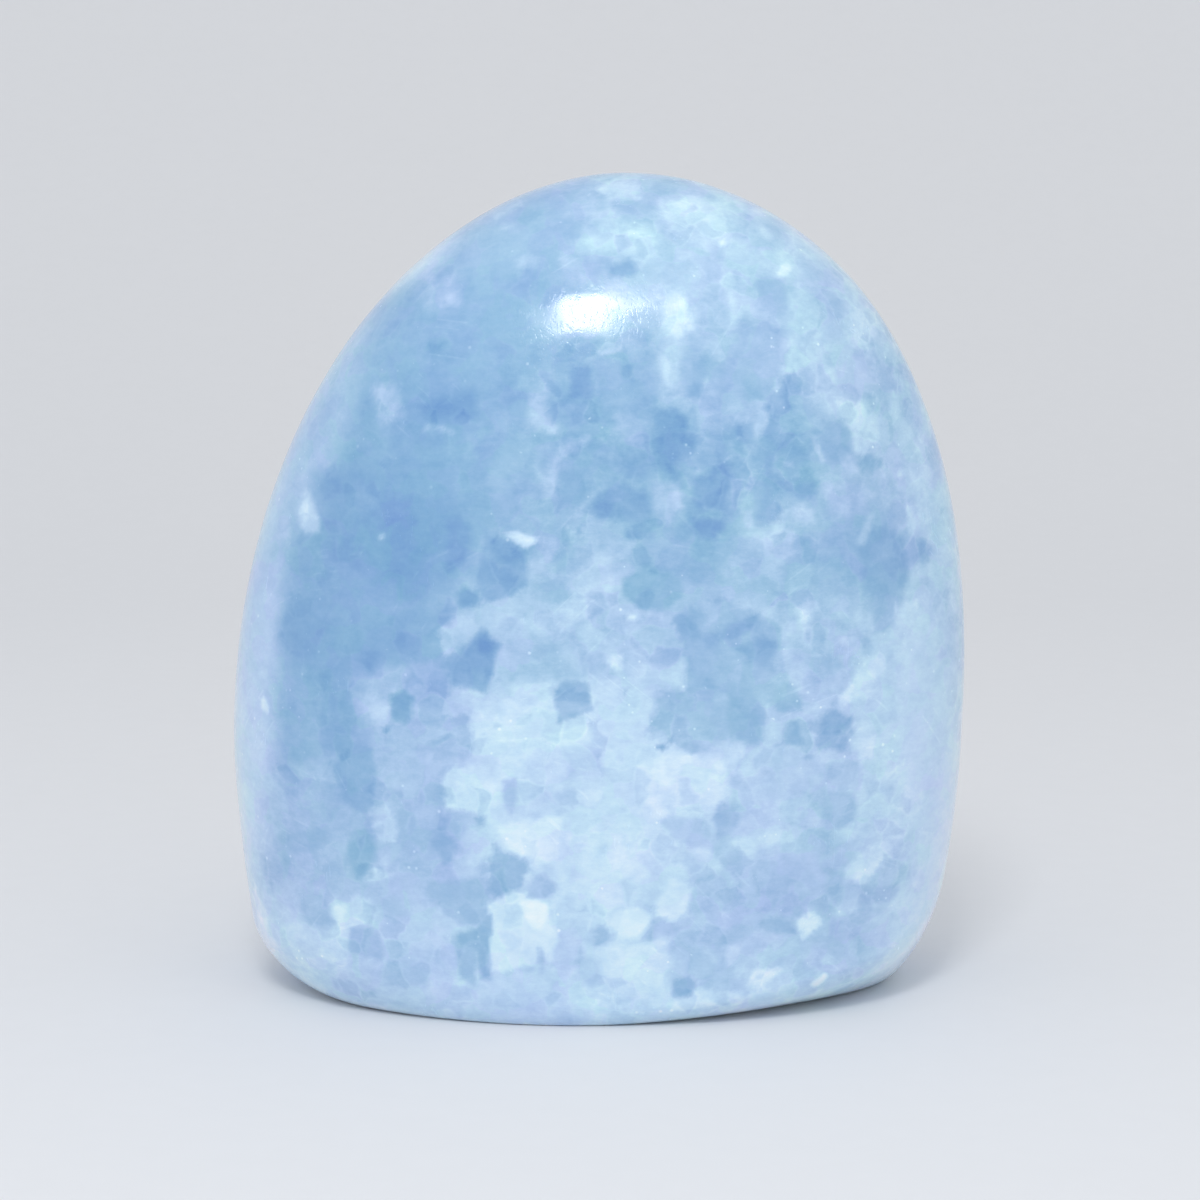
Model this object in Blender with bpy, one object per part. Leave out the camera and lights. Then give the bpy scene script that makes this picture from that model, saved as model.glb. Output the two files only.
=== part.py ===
"""A polished blue calcite freeform: one dome-shaped stone, ground smooth, that stands on a flat cut base.

Run it with blender --background --python part.py, or from Blender's text editor.
Units are metres and +Z is up. The origin is the middle of the base, and the broad front face looks towards -Y.
"""

import math

import bmesh
import bpy
from mathutils import Vector

MM = 0.001
STONE_NAME = "calcite_freeform"

# The stone's height, and how far its crown leans to the right of its foot.
HEIGHT = 90 * MM
CROWN_LEAN = 2.8 * MM

# The body is a dome whose half-widths change on the way up. A latitude is 0 degrees at the base and 90 at the
# crown. Each row gives a latitude, then how far the dome reaches to the left, right, front and back there, in mm.
REACH_MM = (
    (0, 37.5, 36.0, 21.0, 20.5),
    (10, 40.5, 39.5, 22.5, 22.0),
    (20, 43.5, 42.5, 24.0, 23.5),
    (32, 46.0, 46.0, 26.0, 25.5),
    (46, 48.0, 49.5, 29.0, 28.0),
    (60, 49.0, 52.0, 32.0, 30.5),
    (75, 49.0, 53.0, 34.0, 32.5),
    (90, 48.5, 53.5, 34.5, 33.0),
)

# Seen from above, the body is a superellipse: 2 would be an ellipse, and more is fuller at the corners.
PLAN_POWER = 2.3

# The rounding between the flank and the flat base. Each row gives an azimuth, counted from the right side over
# the back, then how far the rounding runs in under the stone and how high it starts, in mm.
FOOT_MM = (
    (0, 5.0, 14.0),
    (45, 5.5, 8.0),
    (90, 3.0, 4.0),
    (135, 5.0, 6.0),
    (180, 9.0, 8.0),
    (225, 5.0, 8.0),
    (270, 1.5, 2.5),
    (315, 10.5, 6.0),
)

# Where the grinding wheel left a soft flat. Each row gives the azimuth and elevation that the flat faces, its
# distance from the heart of the stone, and how softly it runs out into the curve around it, in mm.
HEART_HEIGHT = 42 * MM
FLATS_MM = (
    ("front window", 268, 4, 22.9, 0.8),
    ("front left flank", 228, 12, 31.6, 1.0),
    ("front right flank", 314, 13, 33.6, 1.2),
    ("right shoulder", 357, 43, 46.8, 0.6),
    ("crown front", 279, 50, 41.0, 1.0),
    ("back window", 92, 8, 23.0, 0.9),
    ("back left flank", 141, 16, 33.4, 1.0),
    ("back right flank", 37, 20, 36.6, 1.2),
)
FLAT_GRIP_HEIGHT = 12 * MM

# How finely the surface is divided: quads along each side of the plan, rows up the flank, and how many of those
# rows turn round the foot. Above the flank lies the crown's patch, which has four blunt corners.
PLAN_QUADS = 22
FLANK_ROWS = 34
FOOT_ROWS = 6
CROWN_LATITUDE = 60
CROWN_SQUARENESS = 0.6

SHARP_ANGLE = math.radians(35)
CALCITE_BLUE = (0.36, 0.55, 0.82, 1.0)
POLISH_ROUGHNESS = 0.12


def clear_scene():
    """Removes every object that the startup scene holds."""
    for old in list(bpy.data.objects):
        bpy.data.objects.remove(old)


def smooth_row(rows, at):
    """The values of a table at one place, on a cubic curve through its rows; the first column is the place."""
    last = len(rows) - 2
    k = max(0, min(last, sum(row[0] <= at for row in rows) - 1))
    low, high = rows[k], rows[k + 1]
    before = rows[max(k - 1, 0)]
    after = rows[min(k + 2, last + 1)]
    span = high[0] - low[0]
    t = (at - low[0]) / span
    values = []
    for column in range(1, len(low)):
        start_slope = (high[column] - before[column]) / (high[0] - before[0]) * span
        end_slope = (after[column] - low[column]) / (after[0] - low[0]) * span
        values.append(
            (2 * t**3 - 3 * t**2 + 1) * low[column]
            + (t**3 - 2 * t**2 + t) * start_slope
            + (3 * t**2 - 2 * t**3) * high[column]
            + (t**3 - t**2) * end_slope
        )
    return values


def foot_rounding(azimuth):
    """How far the foot's rounding runs in under the stone at an azimuth, and how high it starts, in metres."""
    turns = [(row[0] + turn,) + row[1:] for turn in (-360, 0, 360) for row in FOOT_MM]
    inset, lift = smooth_row(turns, math.degrees(azimuth) % 360)
    return inset * MM, lift * MM


def square_ring(x, y):
    """Where a point of the square from -1 to 1 lies: the ring it is on, 0 to 1, and its azimuth round the ring."""
    ring = max(abs(x), abs(y))
    if ring < 1e-9:
        return 0.0, 0.0
    if abs(x) >= abs(y):
        return ring, math.pi / 4 * y / x + (math.pi if x < 0 else 0)
    return ring, math.pi / 2 - math.pi / 4 * x / y + (math.pi if y < 0 else 0)


def crown_edge(azimuth):
    """The latitude where the crown's patch begins: lowest at its four corners, so no quad there is a sliver."""
    from_middle = (azimuth + math.pi / 4) % (math.pi / 2) - math.pi / 4
    return 90 - (90 - CROWN_LATITUDE) * math.cos(from_middle) ** -CROWN_SQUARENESS


def girth_point(azimuth, height):
    """The point of the dome's girth at this azimuth and height, as x and y, before its foot is rounded."""
    latitude = math.degrees(math.asin(min(height / HEIGHT, 1)))
    left, right, front, back = smooth_row(REACH_MM, latitude)
    u, v = math.cos(azimuth), math.sin(azimuth)
    fullness = (abs(u) ** PLAN_POWER + abs(v) ** PLAN_POWER) ** (-1 / PLAN_POWER)
    closing = math.cos(math.radians(latitude)) * fullness * MM
    return Vector(((right if u > 0 else left) * u * closing, (back if v > 0 else front) * v * closing))


def press_onto_flats(point):
    """Moves a point that stands proud of a ground flat back onto it, with a soft run-out at the flat's edge."""
    for _name, azimuth, elevation, distance, softness in FLATS_MM:
        a, e = math.radians(azimuth), math.radians(elevation)
        facing = Vector((math.cos(a) * math.cos(e), math.sin(a) * math.cos(e), math.sin(e)))
        proud = (point - Vector((0, 0, HEART_HEIGHT))).dot(facing) - distance * MM
        cut = softness * MM * math.log1p(math.exp(proud / (softness * MM)))
        facing.z *= min(point.z / FLAT_GRIP_HEIGHT, 1)
        point = point - facing * cut
    return point


def stone_point(cube_point):
    """Carries a point of a cube's surface onto the stone: the cube's top makes the crown, and its bottom the base."""
    ring, azimuth = square_ring(cube_point.x, cube_point.y)
    inset, lift = foot_rounding(azimuth)
    row = (cube_point.z + 1) / 2 * FLANK_ROWS
    drawn_in = 0.0
    if cube_point.z > 1 - 1e-6:
        latitude = 90 - (90 - crown_edge(azimuth)) * ring
        height = HEIGHT * math.sin(math.radians(latitude))
    elif row < FOOT_ROWS:
        turn = row / FOOT_ROWS * math.pi / 2
        height = lift * (1 - math.cos(turn))
        drawn_in = inset * (1 - math.sin(turn))
    else:
        lowest = math.degrees(math.asin(lift / HEIGHT))
        climb = (row - FOOT_ROWS) / (FLANK_ROWS - FOOT_ROWS)
        height = HEIGHT * math.sin(math.radians(lowest + (crown_edge(azimuth) - lowest) * climb))
    plan = girth_point(azimuth, height)
    if drawn_in:
        plan *= 1 - drawn_in / plan.length
    if cube_point.z < -1 + 1e-6:
        plan *= ring
    lean = CROWN_LEAN * (height / HEIGHT) ** 2
    return press_onto_flats(Vector((plan.x + lean, plan.y, height)))


def centre_on_base(mesh):
    """Moves the mesh sideways so that the middle of its box stands over the origin."""
    for axis in range(2):
        places = [vertex.co[axis] for vertex in mesh.verts]
        middle = (min(places) + max(places)) / 2
        for vertex in mesh.verts:
            vertex.co[axis] -= middle


def divided_cube():
    """A cube from -1 to 1, divided into rows up its sides and into even quads along its plan."""
    mesh = bmesh.new()
    bmesh.ops.create_cube(mesh, size=2)
    upright = [edge for edge in mesh.edges if abs(edge.verts[0].co.z - edge.verts[1].co.z) > 1]
    bmesh.ops.subdivide_edges(mesh, edges=upright, cuts=FLANK_ROWS - 1)
    level = [edge for edge in mesh.edges if abs(edge.verts[0].co.z - edge.verts[1].co.z) < 1e-6]
    bmesh.ops.subdivide_edges(mesh, edges=level, cuts=PLAN_QUADS - 1, use_grid_fill=True)
    return mesh


def calcite_material():
    """Pale sky-blue stone with a glossy hand polish."""
    material = bpy.data.materials.new("polished_blue_calcite")
    material.use_nodes = True
    shader = material.node_tree.nodes["Principled BSDF"]
    shader.inputs["Base Color"].default_value = CALCITE_BLUE
    shader.inputs["Metallic"].default_value = 0.0
    shader.inputs["Roughness"].default_value = POLISH_ROUGHNESS
    material.diffuse_color = CALCITE_BLUE
    return material


def build_stone(collection):
    """The whole stone as one solid: it is a single piece, with no core or setting."""
    shape = divided_cube()
    for vertex in shape.verts:
        vertex.co = stone_point(vertex.co)
    centre_on_base(shape)
    bmesh.ops.recalc_face_normals(shape, faces=shape.faces)
    mesh = bpy.data.meshes.new(STONE_NAME)
    shape.to_mesh(mesh)
    shape.free()
    mesh.shade_smooth()
    mesh.set_sharp_from_angle(angle=SHARP_ANGLE)
    mesh.materials.append(calcite_material())
    stone = bpy.data.objects.new(STONE_NAME, mesh)
    collection.objects.link(stone)


def main():
    clear_scene()
    collection = bpy.data.collections.new("blue_calcite_freeform")
    bpy.context.scene.collection.children.link(collection)
    build_stone(collection)


main()
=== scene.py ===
"""The looks of a blue calcite freeform: a dome of coarse-grained stone, hand polished, on a flat honed base.

The stone's surface is rebuilt finely from its own driving sizes. Its colours come from soft zones and drawn
crystals, kept as attributes on the mesh, and from node groups that give the stone's grain, veils and specks.
Some of the colour is painted light: a sheen at the rim, lighter tone at the foot, glints among the marks and
shade in the ground pits.
"""

import logging
import math
from dataclasses import dataclass, fields
from enum import Enum
from typing import Any, ClassVar

import bpy
import numpy as np
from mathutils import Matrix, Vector


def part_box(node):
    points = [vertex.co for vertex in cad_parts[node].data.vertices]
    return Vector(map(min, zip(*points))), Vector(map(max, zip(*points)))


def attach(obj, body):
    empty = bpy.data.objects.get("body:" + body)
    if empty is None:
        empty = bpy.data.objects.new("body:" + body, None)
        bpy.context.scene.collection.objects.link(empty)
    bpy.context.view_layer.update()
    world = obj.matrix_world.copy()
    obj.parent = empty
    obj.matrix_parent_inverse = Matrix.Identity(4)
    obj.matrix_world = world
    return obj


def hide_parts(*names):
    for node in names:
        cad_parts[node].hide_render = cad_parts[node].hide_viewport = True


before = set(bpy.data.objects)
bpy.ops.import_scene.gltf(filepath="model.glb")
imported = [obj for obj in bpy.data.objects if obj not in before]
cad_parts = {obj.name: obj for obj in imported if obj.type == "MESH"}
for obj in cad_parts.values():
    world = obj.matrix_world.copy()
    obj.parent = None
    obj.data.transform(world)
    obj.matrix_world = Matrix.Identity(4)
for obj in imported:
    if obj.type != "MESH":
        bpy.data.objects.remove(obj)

Array = np.ndarray
Socket = bpy.types.NodeSocket
Sockets = list[Socket]
Outputs = bpy.types.bpy_prop_collection
NodeTree = bpy.types.NodeTree
Node = bpy.types.Node
Material = bpy.types.Material
Mesh = bpy.types.Mesh
Object = bpy.types.Object
Range = tuple[float, float]
Triple = tuple[float, float, float]
Rows = tuple[tuple[float, ...], ...]

MM = 0.001
TINY = 1e-9
HAIR = 1e-6
CAD_NODE = "calcite_freeform"
SHADER = "ShaderNodeTree"
GEOMETRY = "GeometryNodeTree"
FLOAT = "NodeSocketFloat"
COLOUR = "NodeSocketColor"
VECTOR = "NodeSocketVector"
SOCKET_KINDS = {float: FLOAT, int: "NodeSocketInt", Material: "NodeSocketMaterial"}
log = logging.getLogger("calcite_freeform")


class Layer(Enum):
    """The layers that marks are drawn in, each over the one before. The value is the attribute's name."""

    PATCH = "patch"
    CRYSTAL = "crystal"
    # the top layer holds painted glints: small bright flashes of light drawn into the colour
    GLINT = "glint"


class Side(Enum):
    """The side that a drawing lies on: the azimuth and elevation that it is seen from, in degrees."""

    FRONT = (0, 8)
    RIGHT = (90, 10)
    BACK = (180, 8)
    LEFT = (270, 10)
    CROWN = (0, 80)


@dataclass(frozen=True)
class Flat:
    """A soft flat that the grinding wheel left.

    Attributes:
        azimuth: where it faces, counted from the right side over the back, in degrees.
        elevation: how far up it faces, in degrees.
        distance: how far it lies from the heart of the stone, in mm.
        softness: how softly it runs out into the curve around it, in mm.
    """

    azimuth: float
    elevation: float
    distance: float
    softness: float


@dataclass(frozen=True)
class StoneForm:
    """The form that the stone was ground to, in mm and degrees, as its solid has it.

    Attributes:
        crown_lean: how far the crown leans to the right of its foot.
        plan_power: how full the plan is at its corners; 2 would be an ellipse.
        heart_height: how high the heart of the stone lies.
        grip_height: the height below which a flat presses ever less downwards.
        crown_latitude: where the crown's patch begins.
        crown_squareness: how much lower it begins at its four blunt corners.
        foot_share: the share of the block's rows that make the foot's rounding.
        reach: rows of latitude, and how far the dome reaches there to the left, right, front and back.
        foot: rows of azimuth, and how far the foot's rounding runs in there and how high it starts.
        flats: where the grinding wheel left a soft flat.
    """

    height: float = 90.0
    crown_lean: float = 2.8
    plan_power: float = 2.3
    heart_height: float = 42.0
    grip_height: float = 12.0
    crown_latitude: float = 60.0
    crown_squareness: float = 0.6
    foot_share: float = 6 / 34
    reach: Rows = (
        (0, 37.5, 36.0, 21.0, 20.5),
        (10, 40.5, 39.5, 22.5, 22.0),
        (20, 43.5, 42.5, 24.0, 23.5),
        (32, 46.0, 46.0, 26.0, 25.5),
        (46, 48.0, 49.5, 29.0, 28.0),
        (60, 49.0, 52.0, 32.0, 30.5),
        (75, 49.0, 53.0, 34.0, 32.5),
        (90, 48.5, 53.5, 34.5, 33.0),
    )
    foot: Rows = (
        (0, 5.0, 14.0),
        (45, 5.5, 8.0),
        (90, 3.0, 4.0),
        (135, 5.0, 6.0),
        (180, 9.0, 8.0),
        (225, 5.0, 8.0),
        (270, 1.5, 2.5),
        (315, 10.5, 6.0),
    )
    flats: tuple[Flat, ...] = (
        Flat(268, 4, 22.9, 0.8),
        Flat(228, 12, 31.6, 1.0),
        Flat(314, 13, 33.6, 1.2),
        Flat(357, 43, 46.8, 0.6),
        Flat(279, 50, 41.0, 1.0),
        Flat(92, 8, 23.0, 0.9),
        Flat(141, 16, 33.4, 1.0),
        Flat(37, 20, 36.6, 1.2),
    )

    @staticmethod
    def smooth_rows(rows: Rows, at: Array) -> list[Array]:
        """Reads a table on a cubic curve through its rows.

        Args:
            rows: the table, whose first column is the place.
            at: the places to read it at.

        Returns:
            One array for each further column.
        """
        table = np.array(rows, float)
        last = len(table) - 2
        k = np.clip(np.searchsorted(table[:, 0], at, side="right") - 1, 0, last)
        before, low = table[np.maximum(k - 1, 0)], table[k]
        high, after = table[k + 1], table[np.minimum(k + 2, last + 1)]
        span = (high - low)[..., :1]
        t = (at[..., None] - low[..., :1]) / span
        start_slope = (high - before) / (high - before)[..., :1] * span
        end_slope = (after - low) / (after - low)[..., :1] * span
        curve = (
            (2 * t**3 - 3 * t**2 + 1) * low
            + (t**3 - 2 * t**2 + t) * start_slope
            + (3 * t**2 - 2 * t**3) * high
            + (t**3 - t**2) * end_slope
        )
        return [curve[..., column] for column in range(1, table.shape[1])]

    @staticmethod
    def square_rings(x: Array, y: Array) -> tuple[Array, Array]:
        """Carries the square from -1 to 1 onto a disc.

        Args:
            x: each point's place across the square.
            y: each point's place up the square.

        Returns:
            The ring that each point is on, 0 to 1, and its azimuth round the ring.
        """
        wide = np.abs(x) >= np.abs(y)
        by_x = y / np.where(np.abs(x) < TINY, 1, x)
        by_y = x / np.where(np.abs(y) < TINY, 1, y)
        quarter = math.pi / 4
        azimuth = np.where(
            wide,
            quarter * by_x + math.pi * (x < 0),
            2 * quarter - quarter * by_y + math.pi * (y < 0),
        )
        return np.maximum(np.abs(x), np.abs(y)), azimuth

    def crown_edge(self, azimuth: Array) -> Array:
        """The latitude where the crown's patch begins, in degrees."""
        from_middle = (azimuth + math.pi / 4) % (math.pi / 2) - math.pi / 4
        return 90 - (90 - self.crown_latitude) * np.cos(from_middle) ** -self.crown_squareness

    def girth(self, azimuth: Array, height: Array) -> Array:
        """Finds points of the dome's girth, before the foot is rounded.

        Args:
            azimuth: where they lie round the dome, in radians.
            height: how high they lie.

        Returns:
            Their x and y.
        """
        latitude = np.degrees(np.arcsin(np.minimum(height / self.height, 1)))
        left, right, front, back = self.smooth_rows(self.reach, latitude)
        u, v = np.cos(azimuth), np.sin(azimuth)
        fullness = (np.abs(u) ** self.plan_power + np.abs(v) ** self.plan_power) ** (-1 / self.plan_power)
        closing = np.cos(np.radians(latitude)) * fullness
        plan = np.stack((np.where(u > 0, right, left) * u, np.where(v > 0, back, front) * v), -1)
        return plan * closing[:, None]

    def press_onto_flats(self, points: Array) -> Array:
        """Moves what stands proud of a ground flat back onto it.

        Args:
            points: points of the dome.

        Returns:
            The same points, pressed.
        """
        for flat in self.flats:
            a, e = math.radians(flat.azimuth), math.radians(flat.elevation)
            facing = np.array((math.cos(a) * math.cos(e), math.sin(a) * math.cos(e), math.sin(e)))
            proud = (points - (0, 0, self.heart_height)) @ facing - flat.distance
            cut = flat.softness * np.logaddexp(0, proud / flat.softness)
            way = np.repeat(facing[None], len(points), 0)
            way[:, 2] *= np.minimum(points[:, 2] / self.grip_height, 1)
            points = points - way * cut[:, None]
        return points

    def shape(self, block: Array) -> Array:
        """Carries the surface of a cube from -1 to 1 onto the stone.

        Args:
            block: points of the cube's surface, one to a row.

        Returns:
            The stone's points, in mm, with the middle of its box over the origin.
        """
        ring, azimuth = self.square_rings(block[:, 0], block[:, 1])
        turns = tuple((row[0] + turn,) + row[1:] for turn in (-360, 0, 360) for row in self.foot)
        inset, lift = self.smooth_rows(turns, np.degrees(azimuth) % 360)
        rise = (block[:, 2] + 1) / 2
        edge = self.crown_edge(azimuth)
        lowest = np.degrees(np.arcsin(lift / self.height))
        climb = (rise - self.foot_share) / (1 - self.foot_share)
        turn = np.clip(rise / self.foot_share, 0, 1) * math.pi / 2
        in_foot, on_top, under = rise < self.foot_share, rise > 1 - HAIR, rise < HAIR
        latitude = np.where(on_top, 90 - (90 - edge) * ring, lowest + (edge - lowest) * climb)
        height = np.where(in_foot, lift * (1 - np.cos(turn)), self.height * np.sin(np.radians(latitude)))
        plan = self.girth(azimuth, height)
        drawn_in = np.where(in_foot, inset * (1 - np.sin(turn)), 0)
        plan *= (1 - drawn_in / np.maximum(np.linalg.norm(plan, axis=1), TINY))[:, None]
        plan *= np.where(under, ring, 1)[:, None]
        plan[:, 0] += self.crown_lean * (height / self.height) ** 2
        points = self.press_onto_flats(np.concatenate((plan, height[:, None]), 1))
        points[:, :2] -= (points[:, :2].min(0) + points[:, :2].max(0)) / 2
        return points


def as_label(name: str) -> str:
    """A name with underscores as a socket's label: grain_size becomes Grain Size."""
    return name.replace("_", " ").title()


class Wiring:
    """Adds nodes to one node tree and joins them, so that an expression takes one line."""

    def __init__(self, tree: NodeTree) -> None:
        """Takes the tree that the nodes go into."""
        self.tree = tree

    def feed(self, socket: Socket, value: Any) -> None:
        """Gives a socket what it needs.

        Args:
            socket: the socket.
            value: the socket that it is joined to, or a plain value.
        """
        if isinstance(value, Socket):
            self.tree.links.new(value, socket)
        else:
            socket.default_value = value

    def add(self, kind: str, inputs: dict[str | int, Any] | None = None, **settings: Any) -> Node:
        """Adds a node.

        Args:
            kind: the node's type.
            inputs: what each input gets, by its name or number: a socket or a plain value.
            settings: the node's own properties.

        Returns:
            The new node.
        """
        node = self.tree.nodes.new(kind)
        for name, value in settings.items():
            setattr(node, name, value)
        for key, value in (inputs or {}).items():
            self.feed(node.inputs[key], value)
        return node

    def place(self, group: NodeTree, **inputs: Any) -> Outputs:
        """Places a node group.

        Args:
            group: the group.
            inputs: what each input gets, named with underscores for spaces.

        Returns:
            The group's outputs.
        """
        kind = "ShaderNodeGroup" if self.tree.bl_idname == SHADER else "GeometryNodeGroup"
        return self.add_set(kind, inputs, node_tree=group).outputs

    def add_set(self, kind: str, inputs: dict[str, Any], **settings: Any) -> Node:
        """Adds a node.

        Args:
            kind: the node's type.
            inputs: what each input gets, named with underscores for spaces.
            settings: the node's own properties.

        Returns:
            The new node.
        """
        node = self.add(kind, **settings)
        for name, value in inputs.items():
            self.feed(node.inputs[as_label(name)], value)
        return node

    def dress(self, **values: Any) -> None:
        """Feeds a material's shader, each input by its label with underscores for spaces."""
        for name, value in values.items():
            self.feed(self.tree.nodes["Principled BSDF"].inputs[name.replace("_", " ")], value)

    def math(self, operation: str, *values: Any) -> Socket:
        """The result of a Math node."""
        return self.add("ShaderNodeMath", dict(enumerate(values)), operation=operation).outputs[0]

    def total(self, start: Any, *terms: tuple[Any, Any]) -> Any:
        """Adds up weighted values.

        Args:
            start: what they are added to.
            terms: each value with its weight.

        Returns:
            The sum.
        """
        for value, weight in terms:
            start = self.math("MULTIPLY_ADD", value, weight, start)
        return start

    def vector(self, operation: str, *values: Any, **named: Any) -> Socket:
        """What a Vector Math node gives: a number where the operation measures, and otherwise a vector."""
        node = self.add("ShaderNodeVectorMath", {**dict(enumerate(values)), **named}, operation=operation)
        return node.outputs["Value" if operation in ("DOT_PRODUCT", "LENGTH", "DISTANCE") else "Vector"]

    def parts(self, vector: Any) -> Outputs:
        """The three numbers of a vector."""
        return self.add("ShaderNodeSeparateXYZ", {0: vector}).outputs

    def kept(self, name: str, output: str = "Vector") -> Socket:
        """What the mesh keeps under an attribute's name; Fac is the output for a single number."""
        return self.add("ShaderNodeAttribute", attribute_name=name).outputs[output]

    def mix(self, share: Any, low: Any, high: Any) -> Socket:
        """A number between two others."""
        return self.add("ShaderNodeMix", {0: share, 2: low, 3: high}, data_type="FLOAT").outputs[0]

    def tint(self, share: Any, low: Any, high: Any, blend: str = "MIX") -> Socket:
        """A colour between two others, or blended from them."""
        node = self.add("ShaderNodeMix", {0: share, 6: low, 7: high}, data_type="RGBA", blend_type=blend)
        return node.outputs[2]

    def fit(self, value: Any, low: Any, high: Any, to_low: Any = 0.0, to_high: Any = 1.0) -> Socket:
        """Carries a range smoothly onto another one, held at its ends."""
        inputs = {"Value": value, "From Min": low, "From Max": high, "To Min": to_low, "To Max": to_high}
        return self.add("ShaderNodeMapRange", inputs, interpolation_type="SMOOTHSTEP").outputs["Result"]

    def spread(self, value: Any, low: float, high: float) -> Socket:
        """Carries the range from 0 to 1 evenly onto another one."""
        inputs = {"Value": value, "To Min": low, "To Max": high}
        return self.add("ShaderNodeMapRange", inputs).outputs["Result"]

    def noise(self, place: Socket, size: Any, detail: float = 2.0, roughness: float = 0.5) -> Node:
        """Adds a noise node.

        Args:
            place: where it is read.
            size: about how large its lumps are, in metres.
            detail: how many finer layers lie on them.
            roughness: how strong those are.

        Returns:
            The node.
        """
        scale = self.math("DIVIDE", 1.0, size) if isinstance(size, Socket) else 1.0 / size
        inputs = {"Vector": place, "Scale": scale, "Detail": detail, "Roughness": roughness}
        return self.add("ShaderNodeTexNoise", inputs)

    def lines(self, along: Socket, detail: float) -> Socket:
        """Noise along one number, with a lump to each unit."""
        inputs = {"W": along, "Scale": 1.0, "Detail": detail}
        return self.add("ShaderNodeTexNoise", inputs, noise_dimensions="1D").outputs[0]

    def swing(self, place: Socket, size: Any, reach: Any, detail: float = 2.0, rough: float = 0.5) -> Socket:
        """Noise from about minus to plus a reach; its raw values lie within a third of one round one half."""
        centred = self.math("SUBTRACT", self.noise(place, size, detail, rough).outputs[0], 0.5)
        return self.math("MULTIPLY", centred, self.math("MULTIPLY", reach, 3.0))

    def cells(self, place: Socket, size: Socket, feature: str = "F1") -> Outputs:
        """The outputs of a Voronoi node whose cells are about as large as a size in metres."""
        inputs = {"Vector": place, "Scale": self.math("DIVIDE", 1.0, size)}
        return self.add("ShaderNodeTexVoronoi", inputs, feature=feature).outputs

    def sample(self, points: Socket, index: Socket, value: Socket, kind: str) -> Socket:
        """The value that a field has at one of some points."""
        inputs = {"Geometry": points, "Value": value, "Index": index}
        return self.add("GeometryNodeSampleIndex", inputs, data_type=kind).outputs["Value"]

    def store(self, geometry: Socket, name: str, value: Socket, kind: str) -> Socket:
        """The geometry with one more attribute on its vertices."""
        inputs = {"Geometry": geometry, "Name": name, "Value": value}
        return self.add("GeometryNodeStoreNamedAttribute", inputs, data_type=kind, domain="POINT").outputs[0]

    def paint(self, geometry: Socket, material: Socket, selection: Any = True) -> Socket:
        """The geometry with a material on the selected faces."""
        inputs = {"Geometry": geometry, "Selection": selection, "Material": material}
        return self.add("GeometryNodeSetMaterial", inputs).outputs[0]


class EffectGroup:
    """A node group with named inputs and outputs, built once and placed wherever its effect is wanted."""

    def __init__(
        self,
        name: str,
        inputs: dict[str, float | None],
        outputs: dict[str, str],
        kind: str = SHADER,
    ) -> None:
        """Opens the group.

        Args:
            name: the group's name.
            inputs: the default of each input, or None for a vector.
            outputs: the socket type of each output.
            kind: the type of tree.
        """
        self.tree = bpy.data.node_groups.new(name, kind)
        for label, default in inputs.items():
            socket_type = VECTOR if default is None else FLOAT
            socket = self.tree.interface.new_socket(name=label, in_out="INPUT", socket_type=socket_type)
            if default is not None:
                socket.default_value = default
        for label, socket_type in outputs.items():
            self.tree.interface.new_socket(name=label, in_out="OUTPUT", socket_type=socket_type)
        self.wires = Wiring(self.tree)
        self.given = self.tree.nodes.new("NodeGroupInput").outputs

    def close(self, **results: Socket) -> NodeTree:
        """Joins the outputs, named with underscores for spaces, and returns the finished tree."""
        self.wires.add_set("NodeGroupOutput", results)
        return self.tree


class Growth:
    """A Geometry Nodes tree with named inputs, and the plain mesh that it makes of an object."""

    def __init__(self, name: str, values: dict[str, Any]) -> None:
        """Opens the tree.

        Args:
            name: the tree's name.
            values: what each of its inputs gets, by its label.
        """
        self.values = values
        self.tree = bpy.data.node_groups.new(name, GEOMETRY)
        sockets = {"Geometry": "NodeSocketGeometry"}
        sockets.update((label, SOCKET_KINDS[type(value)]) for label, value in values.items())
        for label, kind in sockets.items():
            self.tree.interface.new_socket(name=label, in_out="INPUT", socket_type=kind)
        self.tree.interface.new_socket(name="Geometry", in_out="OUTPUT", socket_type="NodeSocketGeometry")
        self.wires = Wiring(self.tree)
        self.given = self.tree.nodes.new("NodeGroupInput").outputs

    @staticmethod
    def sizes(maker: Any) -> dict[str, Any]:
        """The fields of a dataclass, each under its label."""
        return {as_label(size.name): getattr(maker, size.name) for size in fields(maker)}

    def run(self, holder: Object, name: str) -> Mesh:
        """Runs the tree on an object.

        Args:
            holder: the object, which is removed afterwards with its modifier.
            name: the new mesh's name.

        Returns:
            The result as a plain mesh.
        """
        bpy.context.scene.collection.objects.link(holder)
        modifier = holder.modifiers.new(self.tree.name, "NODES")
        modifier.node_group = self.tree
        for item in self.tree.interface.items_tree:
            if item.in_out == "INPUT" and item.name in self.values:
                modifier[item.identifier] = self.values[item.name]
        bpy.context.view_layer.update()
        seen = holder.evaluated_get(bpy.context.evaluated_depsgraph_get())
        mesh = bpy.data.meshes.new_from_object(seen)
        mesh.name = name
        bpy.data.objects.remove(holder)
        return mesh


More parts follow.
